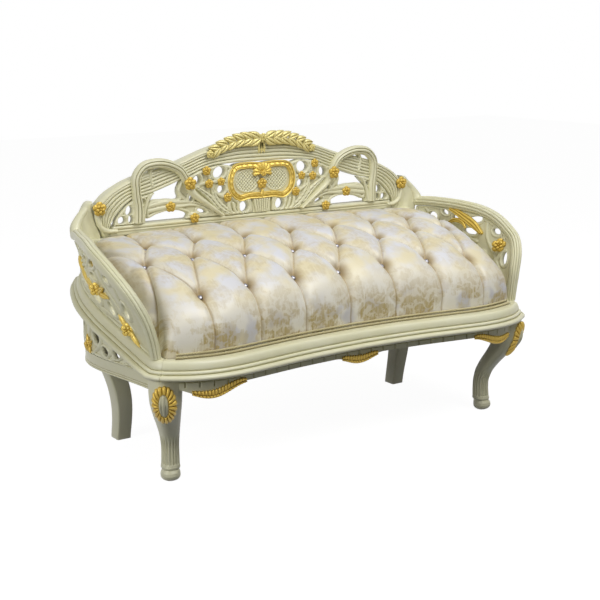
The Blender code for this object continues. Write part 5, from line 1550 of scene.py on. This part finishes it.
def seatCushion():  # the buttoned surface, inflated, refined and folded sharply at the pleats
    spot, flat, near, far = buttonedSurface()
    pleats = cushion["pleatPin"] * np.exp(-(near / cushion["pleatPinReach"]) ** 2)
    pins = np.maximum(np.exp(-(far / cushion["pinReach"]) ** 2), pleats)
    pins[[0, -1]] = 1
    pins[:, [0, -1]] = 1
    spot = simulated(spot, pins)
    spot, flat, far = (refined(grid) for grid in (spot, flat, far))
    near = np.minimum(*lattice(flat[..., 0], flat[..., 1]))
    above = spot[..., 2] - seat["railTop"] - rise(spot[..., 1])
    inside = np.clip(above / cushion["tuckFrom"] - 1, 0, 1)
    fold = cushion["tuck"] * np.exp(-near / cushion["tuckReach"]) * inside  # sharp fold in each pleat
    spot = spot - gridNormal(spot) * fold[..., None]
    above = spot[..., 2] - seat["railTop"] - rise(spot[..., 1])
    shape = closedGrid(spot)
    tail = len(shape[0]) - near.size  # points of the wall and the underside
    walked = np.cumsum(np.linalg.norm(np.diff(spot, axis=0), axis=-1), 0)
    gone = np.pad(np.concatenate([np.zeros((1, near.shape[1])), walked]).ravel(), (0, tail))
    # pit and pleat carry the painted shade in the pits and pleats; height and up steer the painted lilac
    # shade, reflection and highlight on the satin
    values = {"pit": np.exp(-(far / cushion["shadeReach"]) ** 2),
              "pleat": np.exp(-near / cushion["pleatShade"]), "height": above / cushion["tall"],
              "up": gridNormal(spot)[..., 2]}
    values = {name: np.pad(value.ravel(), (0, tail)) for name, value in values.items()}
    uv = np.column_stack([shape[0][:, 0], gone])
    obj = place("seatCushion", shape, satinDamask, ["seat_cushion"], 180, values, uv)
    return spot, flat.reshape(-1, 2)


# In the satin, pale is a painted reflection on up-facing cloth, light a painted highlight on cloth that
# faces sideways, lilac a painted shade on the cushion's lower parts, and shade a painted shade in the pits
# and pleats.
satin = {
    "cream": (0.8, 0.715, 0.47), "pale": (0.75, 0.755, 0.8), "light": (0.94, 0.92, 0.86),
    "flower": (0.5, 0.385, 0.15), "leaf": (0.6, 0.5, 0.25), "lilac": (0.5, 0.5, 0.6),
    "shade": (0.36, 0.24, 0.075), "roughness": 0.36, "specular": 0.75, "sheen": 0.15, "sheenRoughness": 0.4,
    "thread": (260.0, 16.0, 1.0), "bouquets": 9.5, "petals": 70.0, "wander": 0.05}


def flatNoise(start, vector, scale, detail=2.0, rough=0.5, out=0):  # noise on the flat cloth
    return start.node("ShaderNodeTexNoise", out, {"noise_dimensions": "2D"}, Vector=vector, Scale=scale,
                      Detail=detail, Roughness=rough)


def satinLook():  # satin with woven bouquets; painted reflection on top, painted highlight on the sides, painted lilac shade low down and painted golden-brown shade in the pits and pleats
    made, shader, start = newLook("satinDamask")
    uv = start.node("ShaderNodeUVMap", settings={"uv_map": "cloth"})
    pit, pleat, height, up = (attribute(start, name) for name in ("pit", "pleat", "height", "up"))
    patch = flatNoise(start, uv, 15.0)
    streak = flatNoise(start, start.node("ShaderNodeMapping", Vector=uv, Scale=satin["thread"]), 1.0, 3.0,
                       0.6)
    warp = flatNoise(start, uv, 26.0, 4.0, 0.65, 1)
    bent = start.node("ShaderNodeMix", 1, {"data_type": "VECTOR"}, i0=satin["wander"], i4=uv, i5=warp)
    bouquet, petals = (start.node("ShaderNodeTexVoronoi", 0, {"voronoi_dimensions": "2D"}, Vector=bent,
                                  Scale=size) for size in (satin["bouquets"], satin["petals"]))
    cluster = (0.52 - bouquet + (streak - 0.5) * 0.18).step(0.0, 0.16)
    bloom = cluster * (0.45 + (0.62 - petals).step(0.0, 0.35) * 0.55) * (0.8 + (streak - 0.5) * 0.8)
    leaves = (flatNoise(start, bent, 30.0, 2.0, 0.55) + (streak - 0.5) * 0.25).step(0.5, 0.68)
    leaves = leaves * (1.0 - cluster) * 0.5
    # painted reflection: cloth that faces up turns pale lilac-white in patches
    ground = (up.step(0.35, 0.95) * patch.step(0.28, 0.66)).mix(satin["cream"], satin["pale"])
    # painted highlight: cloth that faces sideways turns light
    ground = ((1.0 - up).step(0.1, 0.75) * 0.7).mix(ground, satin["light"])
    # painted shade: the cushion's lower parts turn lilac in patches, and the bouquets and leaves are laid
    # on more strongly there
    low = 1.0 - height.step(0.3, 0.95)
    ground = (low * patch.step(0.48, 0.68) * 0.6).mix(ground, satin["lilac"])
    strong = 0.38 + low * 0.7
    base = (leaves * strong).mix(ground, satin["leaf"])
    base = (bloom * strong).mix(base, satin["flower"])
    # painted shade: golden brown in the pits and along the pleats
    base = (pit.step(0.1, 1.0) * 0.8).mix(base, satin["shade"])
    base = (pleat.step(0.62, 1.0) * 0.7).mix(base, satin["shade"])
    feed(shader, {"Base Color": base, "Roughness": satin["roughness"] + bloom * 0.2 + streak * 0.12,
                  "Specular IOR Level": satin["specular"], "Sheen Weight": satin["sheen"],
                  "Sheen Roughness": satin["sheenRoughness"]})
    bumped(shader, start, petals * cluster * -0.6 + streak * 0.25, 0.2, 0.0012)
    return made


satinDamask = (satinLook(), "damask_satin")
seatPad, seatFlat = seatCushion()
print("cushion")


# Buttons and braid

stud = {
    "radius": 0.007, "dome": 0.62, "lift": 0.0058, "lean": 0.022, "dark": (0.16, 0.16, 0.19),
    "light": (0.52, 0.52, 0.57), "facets": 420.0}


def buttonLook():  # small silver buttons, their facets as painted reflection: each cell a darker or lighter silver
    made, shader, start = newLook("silverButton")
    cells = start.node("ShaderNodeTexVoronoi", 1, Vector=start, Scale=stud["facets"])
    tone = cells.node("ShaderNodeSeparateColor", Color=cells)
    # painted reflection: each facet cell painted between dark and light silver
    feed(shader, {"Base Color": tone.mix(stud["dark"], stud["light"]), "Metallic": 0.75 + tone * 0.15,
                  "Roughness": 0.26 + tone * 0.14})
    return made


def studShape(centre, normal):  # low dome, its normal tilted with the pad
    angle = np.linspace(0, tau, 18, endpoint=False)[None]
    t = np.linspace(0, math.pi / 2, 8)[:, None]
    reach = stud["radius"] * np.sin(t)
    high = stud["radius"] * stud["dome"] * np.cos(t)
    across = unit(np.cross(normal, [0.0, 1.0, 0.2]))
    up = np.cross(normal, across)
    spot = centre + (reach * np.cos(angle))[..., None] * across + (reach * np.sin(angle))[..., None] * up
    return tube(spot + high[..., None] * normal)


def seatButtons():  # a stud at the pad's nearest point, standing on its local slope
    points, normal = (grid.reshape(-1, 3) for grid in (seatPad, gridNormal(seatPad)))
    shapes = []
    for x, y in buttonSpots():
        away = np.hypot(seatFlat[:, 0] - x, seatFlat[:, 1] - y)
        lean = unit(normal[away < stud["lean"]].mean(0))
        shapes.append(studShape(points[int(away.argmin())] + lean * stud["lift"], lean))
    place("seatButtons", joined(shapes), (buttonLook(), "gold_leaf"), (), 35)


braid = {
    "end": 0.53, "cord": 0.003, "strand": 0.62, "turn": 0.0085, "gapTo": (0.003, 0.0104),
    "lift": (0.0052, 0.0), "clear": 0.0006, "rows": 1100,
    # cordTones run from a dark painted shade to the yarn colour; the dark tones of the band under the cords
    # are painted shade along and between them
    "cordTones": ((0.13, 0.1, 0.04), (0.64, 0.58, 0.34)), "tapeFrom": 0.0002, "tapeTo": 0.0148,
    "tapeLow": -0.0003, "tapeHigh": 0.0009, "shadeTapeTones": ((0.1, 0.08, 0.03), (0.24, 0.195, 0.09))}


def braidLook(name, dark, light):  # olive-beige twisted yarn, with painted shade in its crevices
    made, shader, start = newLook(name)
    hollow = attribute(start, "hollow")
    fibre = noise(start, 700.0, 3.0, 0.6)
    # painted shade: darker where the hollow attribute marks the crevices between strands
    tone = (fibre * 0.6 - hollow * 1.8 + 0.16).step(0.15, 0.85)
    feed(shader, {"Base Color": tone.mix(dark, light), "Roughness": 0.62 + fibre * 0.2})
    bumped(shader, start, fibre, 0.3, 0.0004)
    return made


def seatBraid():  # two cords side by side on the rail, each of two strands twisted about its line
    end = stepAt(braid["end"], 0)
    at = np.linspace(-end, end, braid["rows"])
    spot, _ = planAt(at)
    gone = np.r_[0, np.cumsum(np.linalg.norm(np.diff(spot, axis=0), axis=1))]
    ring = np.linspace(0, tau, 7, endpoint=False)[None]
    half, cord = braid["cord"] / 2, braid["cord"]
    inner = railInner(at)
    shapes = []
    for line, lift, hand in zip(braid["gapTo"], braid["lift"], (-1, 1)):
        for strand in (0, math.pi):
            spin = gone / braid["turn"] * tau * hand + strand
            away = inner + line + half * np.cos(spin)
            high = seat["railTop"] + braid["clear"] + lift + cord + half * np.sin(spin)
            wide = away[:, None] + braid["strand"] * cord * np.cos(ring)
            tall = high[:, None] + braid["strand"] * cord * np.sin(ring)
            shapes.append(tube(onPlan(at[:, None], wide, tall, True)))
    # a thin dark band under the cords, its dark colour painted shade along and between them
    wide = inner[:, None] + np.array([braid["tapeFrom"], braid["tapeTo"], braid["tapeTo"],
                                      braid["tapeFrom"]])
    tall = seat["railTop"] + np.array([braid["tapeLow"], braid["tapeLow"], braid["tapeHigh"],
                                       braid["tapeHigh"]])
    shadeTape = tube(onPlan(at[:, None], wide, tall[None], True))
    cords, flat = (braidLook(f"{kind}Braid", *braid[f"{kind}Tones"]) for kind in ("cord", "shadeTape"))
    place("seatBraid", joined(shapes), (cords, "braid_trim"), ["seat_braid"])
    place("braidTape", shadeTape, (flat, "braid_trim"))


seatButtons()
seatBraid()
print("buttons and braid")


# CAD nodes that stay in view: boards and braces

plainNodes = ("seat_deck", "corner_block_left", "corner_block_right")


def dressNodes():  # each remaining CAD node takes a finish by its slot
    bySlot = {slotName: look for look, slotName in (ivoryCoat, goldLeaf, sawnBoard)}
    for name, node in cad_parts.items():
        slotName = node.material_slots[0].material.name.split(".")[0] if node.material_slots else ""
        look = sawnBoard[0] if name in plainNodes else bySlot.get(slotName, ivoryCoat[0])
        for holder in node.material_slots:
            holder.material = look
        if not node.material_slots:
            node.data.materials.append(look)


dressNodes()
print("remaining nodes finished")


# Floor, light and camera

studio = {
    "floor": (0.9, 0.9, 0.9), "bounce": (0.04, 0.043, 0.042), "glow": 1.17, "glowShare": 0.82, "half": 9,
    "white": (1.0, 1.0, 1.0), "world": 0.145, "target": (0.0, 0.0, 0.4)}
lamps = {
    "key": {"spot": (0.4, -1.4, 2.7), "size": 2.2, "power": 57.0},
    "fill": {"spot": (-2.7, -0.5, 1.3), "size": 1.4, "power": 25.0}}
photoView = {
    "place": (-1.795, -2.5755, 1.0462), "pitch": 12.45, "yaw": -34.3, "lens": 73.14, "sensor": 36.0}


def seenRays(tree):  # 1 for what the camera, gloss or glass shows, 0 for light that bounces
    rays = tree.nodes.new("ShaderNodeLightPath").outputs
    camera, glossy, through = (Sock(tree, rays[f"Is {kind} Ray"])
                               for kind in ("Camera", "Glossy", "Transmission"))
    return (camera + glossy + through).maths("MINIMUM", 1.0)


def floorLook():  # near white to the camera with the shadow kept, greyer to the light that bounces off it
    made = bpy.data.materials.new("studioFloor")
    made.use_nodes = True
    made.node_tree.nodes.clear()
    seen = seenRays(made.node_tree)
    plain = seen.node("ShaderNodeBsdfDiffuse", Color=studio["bounce"])
    pale = seen.node("ShaderNodeBsdfDiffuse", Color=studio["floor"])
    glow = seen.node("ShaderNodeEmission", Color=studio["white"], Strength=studio["glow"])
    bright = seen.node("ShaderNodeMixShader", i0=studio["glowShare"], i1=pale, i2=glow)
    both = seen.node("ShaderNodeMixShader", i0=seen, i1=plain, i2=bright)
    seen.node("ShaderNodeOutputMaterial", None, Surface=both)
    return made


def studioFloor():  # one large square at floor level
    mesh = bpy.data.meshes.new("floor")
    corners = [(x * studio["half"], y * studio["half"], 0) for x, y in ((-1, -1), (1, -1), (1, 1), (-1, 1))]
    mesh.from_pydata(corners, [], [(0, 1, 2, 3)])
    mesh.materials.append(floorLook())
    obj = bpy.data.objects.new("floor", mesh)
    bpy.context.scene.collection.objects.link(obj)


def areaLight(name, spot, size, power):  # soft disk lamp turned to the bench
    lamp = bpy.data.lights.new(name, "AREA")
    lamp.shape = "DISK"
    lamp.size = size
    lamp.energy = power
    obj = bpy.data.objects.new(name, lamp)
    obj.location = spot
    obj.rotation_euler = (Vector(studio["target"]) - Vector(spot)).to_track_quat("-Z", "Y").to_euler()
    bpy.context.scene.collection.objects.link(obj)


def studioWorld():  # white to the camera and to reflections, an even grey as light
    world = bpy.data.worlds.new("studio")
    world.use_nodes = True
    world.node_tree.nodes.clear()
    seen = seenRays(world.node_tree)
    dim = seen.node("ShaderNodeBackground", Color=studio["white"], Strength=studio["world"])
    white = seen.node("ShaderNodeBackground", Color=studio["white"], Strength=1.0)
    both = seen.node("ShaderNodeMixShader", i0=seen, i1=dim, i2=white)
    seen.node("ShaderNodeOutputWorld", None, Surface=both)
    bpy.context.scene.world = world


def photoCamera():  # at the photo's viewpoint, tilted and turned in degrees
    lens = bpy.data.cameras.new("photoView")
    lens.lens = photoView["lens"]
    lens.sensor_width = photoView["sensor"]
    obj = bpy.data.objects.new("photoView", lens)
    obj.location = photoView["place"]
    obj.rotation_euler = (math.radians(90 - photoView["pitch"]), 0, math.radians(photoView["yaw"]))
    bpy.context.scene.collection.objects.link(obj)
    bpy.context.scene.camera = obj


studioFloor()
studioWorld()
for lampName, lampSizes in lamps.items():
    areaLight(lampName, **lampSizes)
photoCamera()
bpy.context.scene.view_settings.view_transform = "Standard"
